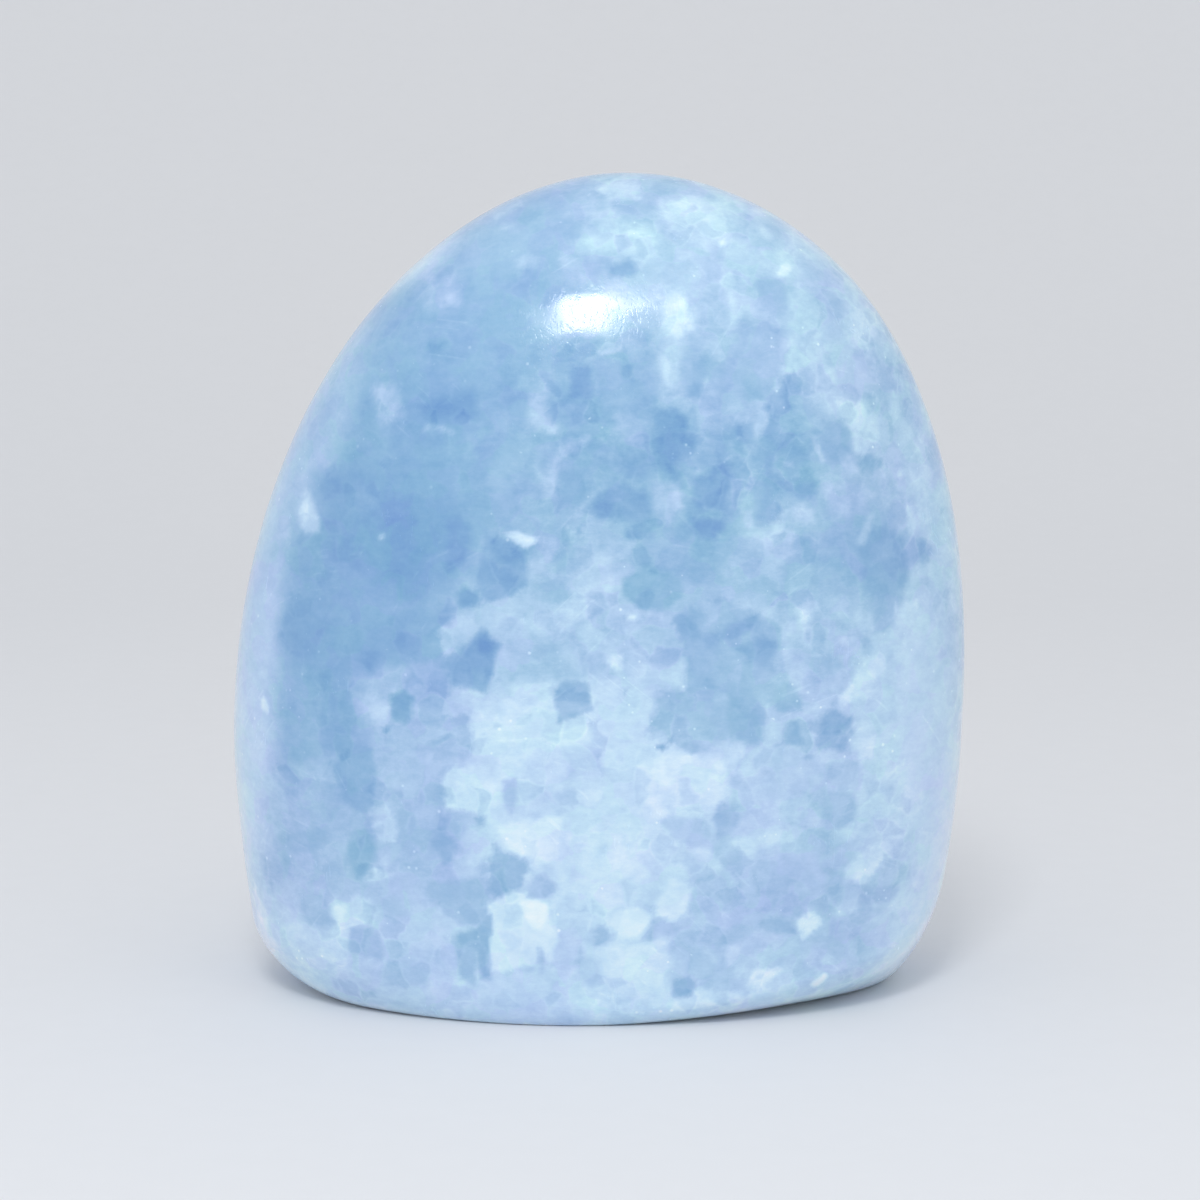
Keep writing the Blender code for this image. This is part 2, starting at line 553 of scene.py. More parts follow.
@dataclass(frozen=True)
class CalciteEffects:
    """The node groups that the stone's finishes share, with sizes in metres.

    A range holds the values where a mask begins and is full. A noise has a size, a detail and a roughness.

    Attributes:
        grain_ragged: how far grain borders wander, as a share of the grain's size.
        edge_blur: how soft even the crispest drawn edge is, in mm.
        edge_gain: how much softer a drawn edge becomes than its mark says.
        veil_seam: how wide the seams of a veil are, as a share of its size, and how strong.
        line_breaks: the size, in metres, and the range of what breaks cleavage lines up.
        speck_radius: the smallest and largest speck, as a share of their spacing.
        speck_drifts: the size, in metres, and the range of the drifts that specks lie in.
        scratch_turn: how the second set of scratches is turned, in radians.
        scratch_stretch: how much finer scratches are across than along.
        scratch_cut: how much they tell in the dullness and in the height.
        ramp: tones from the deepest blue to white, each with its colour in linear light.
    """

    drift_size: float = 0.0028
    grain_ragged: float = 1.1
    grain_shift: Triple = (0.013, 0.029, 0.041)
    border_width: float = 0.16
    step_size: float = 0.0026
    step_noise: Triple = (0.8, 4.0, 0.62)
    edge_blur: float = 0.13
    edge_gain: float = 1.1
    veil_drift: float = 0.9
    veil_seam: Range = (0.3, 0.6)
    veil_lumps: Triple = (1.1, 4.0, 0.6)
    veil_breaks: Range = (0.42, 0.60)
    veil_wisps: Range = (0.50, 0.72)
    line_range: Range = (0.55, 0.75)
    line_breaks: Triple = (0.0018, 0.45, 0.6)
    speck_radius: Range = (0.12, 0.32)
    speck_core: float = 0.2
    speck_drifts: Triple = (0.0042, 0.46, 0.66)
    scratch_turn: Triple = (-0.6, 0.4, 1.9)
    scratch_stretch: Triple = (14.0, 14.0, 1.0)
    scratch_noise: Triple = (0.006, 1.0, 0.65)
    scratch_range: Range = (0.58, 0.70)
    scratch_cut: Range = (0.5, -0.35)
    dull_noise: Triple = (0.007, 2.0, 0.6)
    dull_range: Range = (0.48, 0.72)
    peel_size: float = 0.0016
    ramp: tuple[tuple[float, Triple], ...] = (
        (0.00, (0.133, 0.304, 0.598)),
        (0.15, (0.191, 0.384, 0.643)),
        (0.30, (0.263, 0.463, 0.702)),
        (0.45, (0.345, 0.539, 0.764)),
        (0.60, (0.440, 0.630, 0.843)),
        (0.75, (0.550, 0.745, 0.918)),
        (0.90, (0.675, 0.845, 0.962)),
        (1.10, (0.840, 0.925, 0.985)),
    )
    top_tone: float = 1.2
    lavender_gain: Triple = (1.03, 0.93, 1.02)
    sea_gain: Triple = (0.97, 1.06, 0.96)

    def drift(self) -> NodeTree:
        """The wandering that grains and veils share, as a colour whose channels lie round one half.

        Returns:
            The group.
        """
        inputs = {"Vector": None, "Size": self.drift_size}
        group = EffectGroup("crystal_drift", inputs, {"Drift": COLOUR}, GEOMETRY)
        wander = group.wires.noise(group.given["Vector"], group.given["Size"])
        return group.close(drift=wander.outputs["Color"])

    def grain(self, kind: str = SHADER) -> NodeTree:
        """Interlocking grains: each has its own tone, its own hue and a slight fall of light across it.

        Args:
            kind: the type of tree.

        Returns:
            The group.
        """
        inputs = {"Vector": None, "Drift": None, "Size": 0.005, "Raggedness": self.grain_ragged, "Seed": 0.0}
        group = EffectGroup("calcite_grain", inputs, {"Tone": FLOAT, "Hue": FLOAT, "Border": FLOAT}, kind)
        w, given = group.wires, group.given
        shift = w.vector("SCALE", self.grain_shift, Scale=given["Seed"])
        wander = w.math("MULTIPLY", given["Size"], given["Raggedness"])
        push = w.vector("SCALE", w.vector("SUBTRACT", given["Drift"], (0.5,) * 3), Scale=wander)
        place = w.vector("ADD", w.vector("ADD", given["Vector"], shift), push)
        cells = w.cells(place, given["Size"])
        edges = w.cells(place, given["Size"], "DISTANCE_TO_EDGE")
        random = w.parts(cells["Color"])
        from_centre = w.vector("SUBTRACT", place, cells["Position"])
        slope = w.vector("SUBTRACT", cells["Color"], (0.5,) * 3)
        fall = w.math("DIVIDE", w.vector("DOT_PRODUCT", from_centre, slope), given["Size"])
        level = w.spread(random[0], -1.0, 1.0)
        depth = w.math("POWER", w.math("ABSOLUTE", level), 0.5)
        inward = w.fit(edges["Distance"], 0.0, self.border_width)
        tone = w.math("MULTIPLY", w.total(fall, (level, depth)), inward)
        border = w.math("SUBTRACT", 1.0, inward)
        return group.close(tone=tone, hue=w.spread(random[1], -1.0, 1.0), border=border)

    def steps(self) -> NodeTree:
        """The small unevenness that makes the outline of every drawn crystal wander.

        Returns:
            The group.
        """
        group = EffectGroup("cleavage_steps", {"Vector": None, "Size": self.step_size}, {"Height": FLOAT})
        w, given = group.wires, group.given
        return group.close(height=w.swing(given["Vector"], given["Size"], *self.step_noise))

    def outline(self) -> NodeTree:
        """Gives a drawn mark a soft, uneven edge, from a smooth field that is positive inside it.

        Returns:
            The group.
        """
        inputs = {"Field": 0.0, "Step Height": 0.0, "Softness": 0.3, "Stepping": 0.8}
        group = EffectGroup("stepped_outline", inputs, {"Mask": FLOAT})
        w, given = group.wires, group.given
        moved = w.total(given["Field"], (given["Step Height"], given["Stepping"]))
        reach = w.total(self.edge_blur, (given["Softness"], self.edge_gain))
        return group.close(mask=w.fit(moved, w.math("MULTIPLY", reach, -1.0), reach))

    def veil(self) -> NodeTree:
        """Milky wisps and soft white seams between grains.

        Returns:
            The group.
        """
        inputs = {"Vector": None, "Drift": None, "Size": 0.0055}
        group = EffectGroup("milky_veil", inputs, {"Mask": FLOAT}, GEOMETRY)
        w, given = group.wires, group.given
        size, (lump_share, *lump_noise) = given["Size"], self.veil_lumps
        wander = w.math("MULTIPLY", size, self.veil_drift)
        push = w.vector("SCALE", w.vector("SUBTRACT", given["Drift"], (0.5,) * 3), Scale=wander)
        place = w.vector("ADD", given["Vector"], push)
        width, strength = self.veil_seam
        between = w.fit(w.cells(place, size, "DISTANCE_TO_EDGE")["Distance"], 0.0, width)
        lumps = w.noise(place, w.math("MULTIPLY", size, lump_share), *lump_noise).outputs[0]
        seam = w.math("MULTIPLY", w.math("SUBTRACT", 1.0, between), strength)
        seam = w.math("MULTIPLY", seam, w.fit(lumps, *self.veil_breaks))
        return group.close(mask=w.math("MAXIMUM", seam, w.fit(lumps, *self.veil_wisps)))

    def striae(self) -> NodeTree:
        """Fine parallel cleavage lines, each set in its own grain and its own direction.

        Returns:
            The group.
        """
        inputs = {"Vector": None, "Grain Size": 0.006, "Spacing": 0.0005, "Share": 0.3}
        group = EffectGroup("cleavage_striae", inputs, {"Mask": FLOAT})
        w, given = group.wires, group.given
        cells = w.cells(given["Vector"], given["Grain Size"])
        way = w.vector("NORMALIZE", w.vector("SUBTRACT", cells["Color"], (0.5,) * 3))
        along = w.math("DIVIDE", w.vector("DOT_PRODUCT", given["Vector"], way), given["Spacing"])
        lines = w.fit(w.lines(along, 1.0), *self.line_range)
        share = given["Share"]
        chosen = w.fit(w.parts(cells["Color"])[2], share, w.math("SUBTRACT", share, 0.05))
        size, low, high = self.line_breaks
        broken = w.fit(w.noise(given["Vector"], size, 1.0).outputs[0], low, high)
        return group.close(mask=w.math("MULTIPLY", w.math("MULTIPLY", lines, chosen), broken))

    def specks(self) -> NodeTree:
        """Tiny bright points, in drifts, where light catches a grain's edge.

        Returns:
            The group.
        """
        group = EffectGroup("bright_specks", {"Vector": None, "Size": 0.0009, "Share": 0.3}, {"Mask": FLOAT})
        w, given = group.wires, group.given
        dots = w.cells(given["Vector"], given["Size"])
        random = w.parts(dots["Color"])
        reach = w.spread(random[1], *self.speck_radius)
        dot = w.fit(dots["Distance"], reach, w.math("MULTIPLY", reach, self.speck_core))
        size, low, high = self.speck_drifts
        drifts = w.fit(w.noise(given["Vector"], size).outputs[0], low, high)
        chosen = w.math("LESS_THAN", random[2], w.math("MULTIPLY", given["Share"], drifts))
        return group.close(mask=w.math("MULTIPLY", dot, chosen))

    def tint(self) -> NodeTree:
        """The stone's colour for a tone, from deep blue to white, and a hue, from lavender to sea green.

        Returns:
            The group.
        """
        group = EffectGroup("calcite_tint", {"Tone": 0.5, "Hue": 0.0}, {"Color": COLOUR})
        w, given = group.wires, group.given
        ramp = w.add("ShaderNodeValToRGB", {0: w.math("DIVIDE", given["Tone"], self.top_tone)})
        stops = ramp.color_ramp.elements
        for _extra in self.ramp[2:]:
            stops.new(0.5)
        for stop, (place, colour) in zip(stops, self.ramp):
            stop.position = place / self.top_tone
            stop.color = (*colour, 1.0)
        share = w.total(0.5, (given["Hue"], 0.5))
        gain = w.tint(share, (*self.lavender_gain, 1.0), (*self.sea_gain, 1.0))
        return group.close(color=w.tint(1.0, ramp.outputs["Color"], gain, "MULTIPLY"))

    def polish(self) -> NodeTree:
        """What a hand polish leaves: fine scratches, dulled patches, and a faint unevenness.

        Returns:
            The group.
        """
        outputs = {"Dullness": FLOAT, "Height": FLOAT}
        group = EffectGroup("hand_polish", {"Vector": None, "Wear": 0.5}, outputs)
        w, given = group.wires, group.given
        turn = {"Vector": given["Vector"], "Rotation": self.scratch_turn}
        turned = w.add("ShaderNodeVectorRotate", turn, rotation_type="EULER_XYZ").outputs[0]
        scratches = []
        for place in (given["Vector"], turned):
            fine = w.noise(w.vector("MULTIPLY", place, self.scratch_stretch), *self.scratch_noise)
            scratches.append(w.fit(fine.outputs[0], *self.scratch_range))
        scratched = w.math("ADD", *scratches)
        dull = w.fit(w.noise(given["Vector"], *self.dull_noise).outputs[0], *self.dull_range)
        dulling, cutting = self.scratch_cut
        dullness = w.math("MULTIPLY", w.total(dull, (scratched, dulling)), given["Wear"])
        peel = w.noise(given["Vector"], self.peel_size, 1.0).outputs[0]
        return group.close(dullness=dullness, height=w.total(peel, (scratched, cutting)))


def open_material(name: str) -> tuple[Material, Wiring, Socket]:
    """Starts a material.

    Args:
        name: its name.

    Returns:
        The material, its wiring and the object coordinates.
    """
    material = bpy.data.materials.new(name)
    material.use_nodes = True
    wires = Wiring(material.node_tree)
    return material, wires, wires.add("ShaderNodeTexCoord").outputs["Object"]


@dataclass
class Finish:
    """What the stone's finishes share: the node groups, the small grain, and how light runs in the stone.

    Attributes:
        small_ragged: how far their borders wander, as a share of their size.
        ior: how strongly calcite bends light.
        scatter: how much light runs through the stone.
        scatter_reach: how far it runs, in metres.
        scatter_colour: how far each channel runs, as a share of that.
    """

    effects: dict[str, NodeTree]
    small_size: float = 0.0024
    small_ragged: float = 1.5
    small_seed: float = 3.0
    bump_depth: float = 0.00001
    ior: float = 1.58
    scatter: float = 0.10
    scatter_reach: float = 0.0022
    scatter_colour: Triple = (0.6, 0.85, 1.0)

    def place(self, wires: Wiring, name: str, **inputs: Any) -> Outputs:
        """Places a shared effect in a material, its inputs named with underscores for spaces."""
        return wires.place(self.effects[name], **inputs)

    def small_grain(self, wires: Wiring, place: Socket) -> Outputs:
        """The small grains, which wander with the coarse ones."""
        sizes = {"size": self.small_size, "raggedness": self.small_ragged, "seed": self.small_seed}
        return self.place(wires, "grain", vector=place, drift=wires.kept("drift"), **sizes)

    def dress(self, wires: Wiring, colour: Socket, roughness: Socket, height: Socket) -> None:
        """Feeds the shader.

        Args:
            wires: the material's wiring.
            colour: the stone's colour.
            roughness: how rough it is.
            height: its finest relief, from 0 to 1.
        """
        relief = {"Height": height, "Strength": 1.0, "Distance": self.bump_depth}
        normal = wires.add("ShaderNodeBump", relief).outputs["Normal"]
        wires.dress(Base_Color=colour, Roughness=roughness, Normal=normal, IOR=self.ior)
        wires.dress(Subsurface_Weight=self.scatter, Subsurface_Scale=self.scatter_reach)
        wires.dress(Subsurface_Radius=self.scatter_colour)


@dataclass(frozen=True)
class Laying:
    """How a layer of drawn marks lies in the stone.

    Attributes:
        stepping: how far its outlines step in and out, in mm.
        fading: how unevenly its marks cover what is under them, from 0 to 1.
        grain: how much of the fine grain shows in them.
        stain: how much of the fine staining shows in them.
    """

    stepping: float
    fading: float
    grain: float
    stain: float


LAYINGS = {
    Layer.PATCH: Laying(1.0, 1.0, 1.0, 1.0),
    Layer.CRYSTAL: Laying(0.6, 0.3, 0.8, 0.7),
    Layer.GLINT: Laying(0.3, 0.0, 1.0, 0.0),
}


@dataclass
class PolishedSkin(Finish):
    """The polished calcite: drawn tones and crystals, grain, veils, specks, and a glossy hand polish.

    A pair weighs the coarse grain and the small grain, where nothing else is said. Tones run from 0 to 1.

    Attributes:
        mottle_reach: how strong it is, and how much stronger under a veil.
        mosaic_grain: how much the grains tell in the ground.
        mark_grain: how much they tell in a drawn mark.
        hue_grain: how much they tell in the hue.
        cloud: how much the soft clouds tell in the hue and in the tone.
        cover: how fully a mark covers where its outline steps in and where it steps out.
        cover_steps: the heights of the steps between which its cover changes.
        seam_tone: how much a seam between small grains lightens it under a veil and in the mosaic.
        speck_tone: how much a speck lightens it, and how much more under a veil.
    """

    bump_depth: float = 0.000009
    mottle_size: float = 0.0015
    mottle_stretch: Triple = (0.75, 0.75, 1.35)
    mottle_reach: Range = (0.090, 0.13)
    mottle_noise: Range = (4.0, 0.76)
    mosaic_grain: Range = (0.15, 0.11)
    mark_grain: Range = (0.07, 0.10)
    hue_grain: Range = (0.30, 0.35)
    cloud: Range = (3.0, 0.7)
    cover: Range = (1.0, 0.5)
    cover_steps: Range = (-0.3, 0.9)
    milk_tone: float = 0.22
    seam_tone: Range = (0.12, 0.03)
    line_tone: float = 0.07
    speck_tone: Range = (0.13, 0.34)
    nick_shade_share: float = 0.3
    nick_shade_tone: float = 0.35
    nick_roughness: float = 0.3
    wear: float = 0.5
    gloss_roughness: float = 0.135
    dull_gain: float = 0.20

    def over(self, w: Wiring, layer: Layer, steps: Socket, under: Sockets, fine: Sockets) -> Sockets:
        """Lays a layer of drawn marks over what is there.

        Args:
            w: the material's wiring.
            layer: the layer.
            steps: the unevenness of the outlines.
            under: the tone and hue that are there.
            fine: the fine grain's tone and hue.

        Returns:
            The new tone and hue.
        """
        how = LAYINGS[layer]
        field, *drawn = w.parts(w.kept(layer.value))
        edge = {"softness": w.kept(f"{layer.value}_softness", "Fac"), "step_height": steps}
        mask = self.place(w, "outline", field=field, stepping=how.stepping, **edge)["Mask"]
        cover = w.fit(w.math("MULTIPLY", steps, -1.0), *self.cover_steps, *self.cover)
        mask = w.math("MULTIPLY", mask, w.total(1.0 - how.fading, (cover, how.fading)))
        shares = (how.grain, how.stain)
        return [
            w.mix(mask, low, w.total(high, (detail, share)))
            for low, high, detail, share in zip(under, drawn, fine, shares)
        ]

    def build(self) -> Material:
        """Builds the material.

        Returns:
            The material.
        """
        material, w, place = open_material("polished_blue_calcite")
        tone, hue, mosaic = w.parts(w.kept("ground"))
        big_tone, big_hue, cloud = w.parts(w.kept("grain"))
        veiled, nick = w.kept("veil", "Fac"), w.kept("nick", "Fac")
        milk = w.math("MULTIPLY", w.kept("veil_mask", "Fac"), veiled)
        small = self.small_grain(w, place)
        level = w.vector("MULTIPLY", place, self.mottle_stretch)
        reach = w.total(self.mottle_reach[0], (veiled, self.mottle_reach[1]))
        mottle = w.swing(level, self.mottle_size, reach, *self.mottle_noise)
        grains = (big_tone, small["Tone"])
        stain = w.total(0.0, (cloud, self.cloud[0]), (small["Hue"], self.hue_grain[1]))
        fine = [w.total(mottle, *zip(grains, self.mark_grain)), stain]
        grained = w.total(0.0, *zip(grains, self.mosaic_grain))
        tone = w.total(tone, (grained, mosaic), (mottle, 1.0))
        hue = w.total(hue, (big_hue, self.hue_grain[0]), (stain, 1.0))
        steps = self.place(w, "steps", vector=place)["Height"]
        tone, hue = self.over(w, Layer.PATCH, steps, [tone, hue], fine)
        tone = w.total(tone, (milk, self.milk_tone))
        tone, hue = self.over(w, Layer.CRYSTAL, steps, [tone, hue], fine)
        seam = w.total(0.0, *zip((milk, mosaic), self.seam_tone))
        lines = self.place(w, "striae", vector=place)["Mask"]
        speck_tone = w.total(self.speck_tone[0], (veiled, self.speck_tone[1]))
        specks = self.place(w, "specks", vector=place)["Mask"]
        tone = w.total(tone, (cloud, self.cloud[1]), (small["Border"], seam), (lines, self.line_tone))
        tone, hue = self.over(w, Layer.GLINT, steps, [w.total(tone, (specks, speck_tone)), hue], fine)
        # Painted shade: inside the ground pits the tone is pulled towards a mid blue, which darkens them on
        # the paler stone.
        tone = w.mix(w.math("MULTIPLY", nick, self.nick_shade_share), tone, self.nick_shade_tone)
        colour = self.place(w, "tint", tone=tone, hue=hue)["Color"]
        wear = self.place(w, "polish", vector=place, wear=self.wear)
        rough = w.total(self.gloss_roughness, (wear["Dullness"], self.dull_gain))
        self.dress(w, colour, w.mix(nick, rough, self.nick_roughness), wear["Height"])
        return material


@dataclass
class HonedBase(Finish):
    """The cut base: the same grain, honed dull, with the lap's fine rings.

    Attributes:
        grain_tone: how much the coarse grain and the small grain tell in the tone.
        ring_centre: where the lap's rings have their centre, in metres.
    """

    bump_depth: float = 0.00002
    tone: float = 0.62
    grain_tone: Range = (0.15, 0.07)
    grain_hue: float = 0.3
    veil_share: float = 0.25
    veil_tone: float = 0.9
    speck_share: float = 0.2
    speck_tone: float = 0.15
    ring_centre: Triple = (0.06, -0.09, 0.0)
    ring_spacing: float = 0.0006
    wear: float = 0.6
    roughness: float = 0.42
    dull_gain: float = 0.15

    def build(self) -> Material:
        """Builds the material.

        Returns:
            The material.
        """
        material, w, place = open_material("honed_blue_calcite")
        big_tone, big_hue, _cloud = w.parts(w.kept("grain"))
        small = self.small_grain(w, place)
        tone = w.total(self.tone, *zip((big_tone, small["Tone"]), self.grain_tone))
        veil = w.math("MULTIPLY", w.kept("veil_mask", "Fac"), self.veil_share)
        specks = self.place(w, "specks", vector=place, share=self.speck_share)["Mask"]
        tone = w.total(w.mix(veil, tone, self.veil_tone), (specks, self.speck_tone))
        hue = w.math("MULTIPLY", big_hue, self.grain_hue)
        colour = self.place(w, "tint", tone=tone, hue=hue)["Color"]
        level = w.vector("MULTIPLY", w.vector("SUBTRACT", place, self.ring_centre), (1.0, 1.0, 0.0))
        rings = w.lines(w.math("DIVIDE", w.vector("LENGTH", level), self.ring_spacing), 2.0)
        wear = self.place(w, "polish", vector=place, wear=self.wear)
        rough = w.total(self.roughness, (wear["Dullness"], self.dull_gain))
        self.dress(w, colour, rough, w.math("ADD", rings, wear["Height"]))
        return material


@dataclass(frozen=True)
class Mark:
    """One crystal, patch or glint, drawn on a side of the stone.

    Attributes:
        name: what it is.
        tone: 0 for the deepest blue of the stone, 1 for milk white.
        hue: -1 for lavender, 0 for sky blue, 1 for sea green.
        softness: half the width of its edge, in mm.
        outline: its corners, across and up in turn from the middle of the side, in mm.
    """

    name: str
    tone: float
    hue: float
    softness: float
    outline: tuple[float, ...]


Marks = dict[Layer, tuple[Mark, ...]]


@dataclass(frozen=True)
class Zone:
    """A soft-edged area of the stone's ground.

    Attributes:
        name: what it is.
        centre: across and up from the middle of the side, in mm.
        spread: half its width and half its height, in mm.
        turn: how far it is turned anticlockwise, in degrees.
        tone: 0 for the deepest blue, 1 for milk white.
        hue: -1 for lavender, 0 for sky blue, 1 for sea green.
        mosaic: how strongly the grains differ in tone.
        veil: how much milky veil lies over it.
    """

    name: str
    centre: Range
    spread: Range
    turn: float
    tone: float
    hue: float
    mosaic: float
    veil: float


FRONT_ZONES = (
    Zone("upper left", (-17, 31), (20, 14), 40, 0.29, 0.0, 0.35, 0.10),
    Zone("left slope", (-21, -4), (8, 5), -15, 0.22, 0.0, 0.40, 0.10),
    Zone("crown left", (-9, 42.5), (13, 5), 20, 0.36, -0.3, 0.30, 0.15),
    Zone("left brow", (-21.5, 38.5), (6.5, 3.5), 38, 0.70, -0.2, 0.30, 0.15),
    Zone("left pool", (-24, 11), (13, 17), 0, 0.21, 0.1, 0.35, 0.08),
    Zone("left core", (-22, 6), (9, 6), 20, 0.15, 0.0, 0.35, 0.05),
    Zone("left low", (-31, -2), (7, 10), 0, 0.20, 0.0, 0.40, 0.05),
    Zone("left lower", (-31.5, -13), (6, 8), 0, 0.20, 0.0, 0.50, 0.20),
    Zone("left shoulder", (-32.5, 19.5), (5, 14), -22, 0.50, -0.1, 0.35, 0.15),
    Zone("brow left", (-16.5, 22), (8, 6), 0, 0.24, 0.0, 0.40, 0.10),
    Zone("brow", (-7, 22), (6, 9), 0, 0.30, 0.0, 0.50, 0.40),
    Zone("crown right", (9, 42), (13, 8), -20, 0.48, 0.0, 0.60, 0.40),
    Zone("upper right", (16.5, 34), (13, 10), -35, 0.56, 0.1, 0.50, 0.50),
    Zone("right shoulder", (28, 30), (7, 12), -25, 0.58, 0.0, 0.50, 0.50),
    Zone("network", (6.5, 18), (15, 12), 0, 0.25, 0.3, 0.80, 0.60),
    Zone("east network", (21, 18), (8, 9), 0, 0.22, 0.2, 0.80, 0.60),
    Zone("network brow", (12.5, 21.5), (5, 4), 0, 0.46, 0.1, 0.70, 0.60),
    Zone("east", (29, 20), (6, 10), 0, 0.50, 0.2, 0.60, 0.50),
    Zone("cloudy middle", (-4.5, 7), (6, 7), 0, 0.31, 0.3, 0.50, 0.60),
    Zone("middle", (10, 6.5), (9, 6), 0, 0.28, 0.3, 0.60, 0.50),
    Zone("middle east", (20, 4.5), (6, 6), 0, 0.39, 0.3, 0.70, 0.60),
    Zone("flank", (29, 4.5), (6, 7), 0, 0.32, 0.0, 0.50, 0.40),
    Zone("low flank", (27.5, -6.5), (8, 8), 0, 0.50, 0.0, 0.60, 0.60),
    Zone("far flank", (34, -9), (6, 9), 0, 0.62, 0.0, 0.30, 0.30),
    Zone("wide blue", (11, -9), (9, 8), 0, 0.36, 0.0, 0.60, 0.30),
    Zone("heart top", (0, -4.5), (9, 5), 0, 0.51, 0.0, 0.60, 0.50),
    Zone("heart", (-3, -20), (14, 13), 0, 0.69, 0.1, 0.50, 0.30),
    Zone("heart foot", (-2, -33), (10, 8), 0, 0.63, 0.0, 0.50, 0.30),
    Zone("lower left", (-33, -27), (7, 9), 0, 0.40, -0.2, 0.50, 0.30),
    Zone("low left", (-22, -22), (9, 10), 0, 0.34, -0.2, 0.60, 0.30),
    Zone("left middle", (-12.5, 13), (5, 5.5), 0, 0.23, 0.0, 0.45, 0.25),
    Zone("south east", (21, -20.5), (6, 5), 0, 0.42, -0.2, 0.60, 0.40),
    Zone("left corner", (-36, -37), (6, 6), 0, 0.58, -0.3, 0.40, 0.30),
    Zone("left foot", (-19, -36.5), (9, 6), 0, 0.47, -0.1, 0.50, 0.30),
    Zone("lower right", (15.5, -30), (12, 9), 0, 0.49, -0.2, 0.60, 0.40),
    Zone("low right", (26.5, -33), (8, 8), 0, 0.45, -0.2, 0.50, 0.30),
    # right rim and left rim: paler partly in the stone's own tone and partly as a painted sheen at the rim.
    Zone("right rim", (37, -22), (3.5, 20), 5, 0.66, -0.2, 0.20, 0.10),
    Zone("left rim", (-39.3, -10), (3.5, 34), -4, 0.58, -0.4, 0.20, 0.10),
    Zone("right corner", (34.5, -38), (5, 6), 0, 0.68, -0.3, 0.40, 0.20),
    # foot: paler partly in the stone's own tone and partly as painted light at the foot.
    Zone("foot", (0, -44.5), (30, 3.5), 0, 0.62, -0.1, 0.70, 0.30),
)

BACK_ZONES = (
    Zone("back crown", (4, 30), (20, 14), 15, 0.66, 0.2, 0.6, 0.5),
    Zone("back left", (-24, 2), (14, 24), 10, 0.58, -0.2, 0.7, 0.5),
    Zone("back middle", (2, -2), (15, 18), -20, 0.40, 0.0, 0.8, 0.5),
    Zone("back right", (26, -8), (12, 24), 0, 0.46, -0.3, 0.6, 0.3),
    Zone("back foot", (-6, -34), (26, 10), 5, 0.78, 0.1, 0.6, 0.4),
)

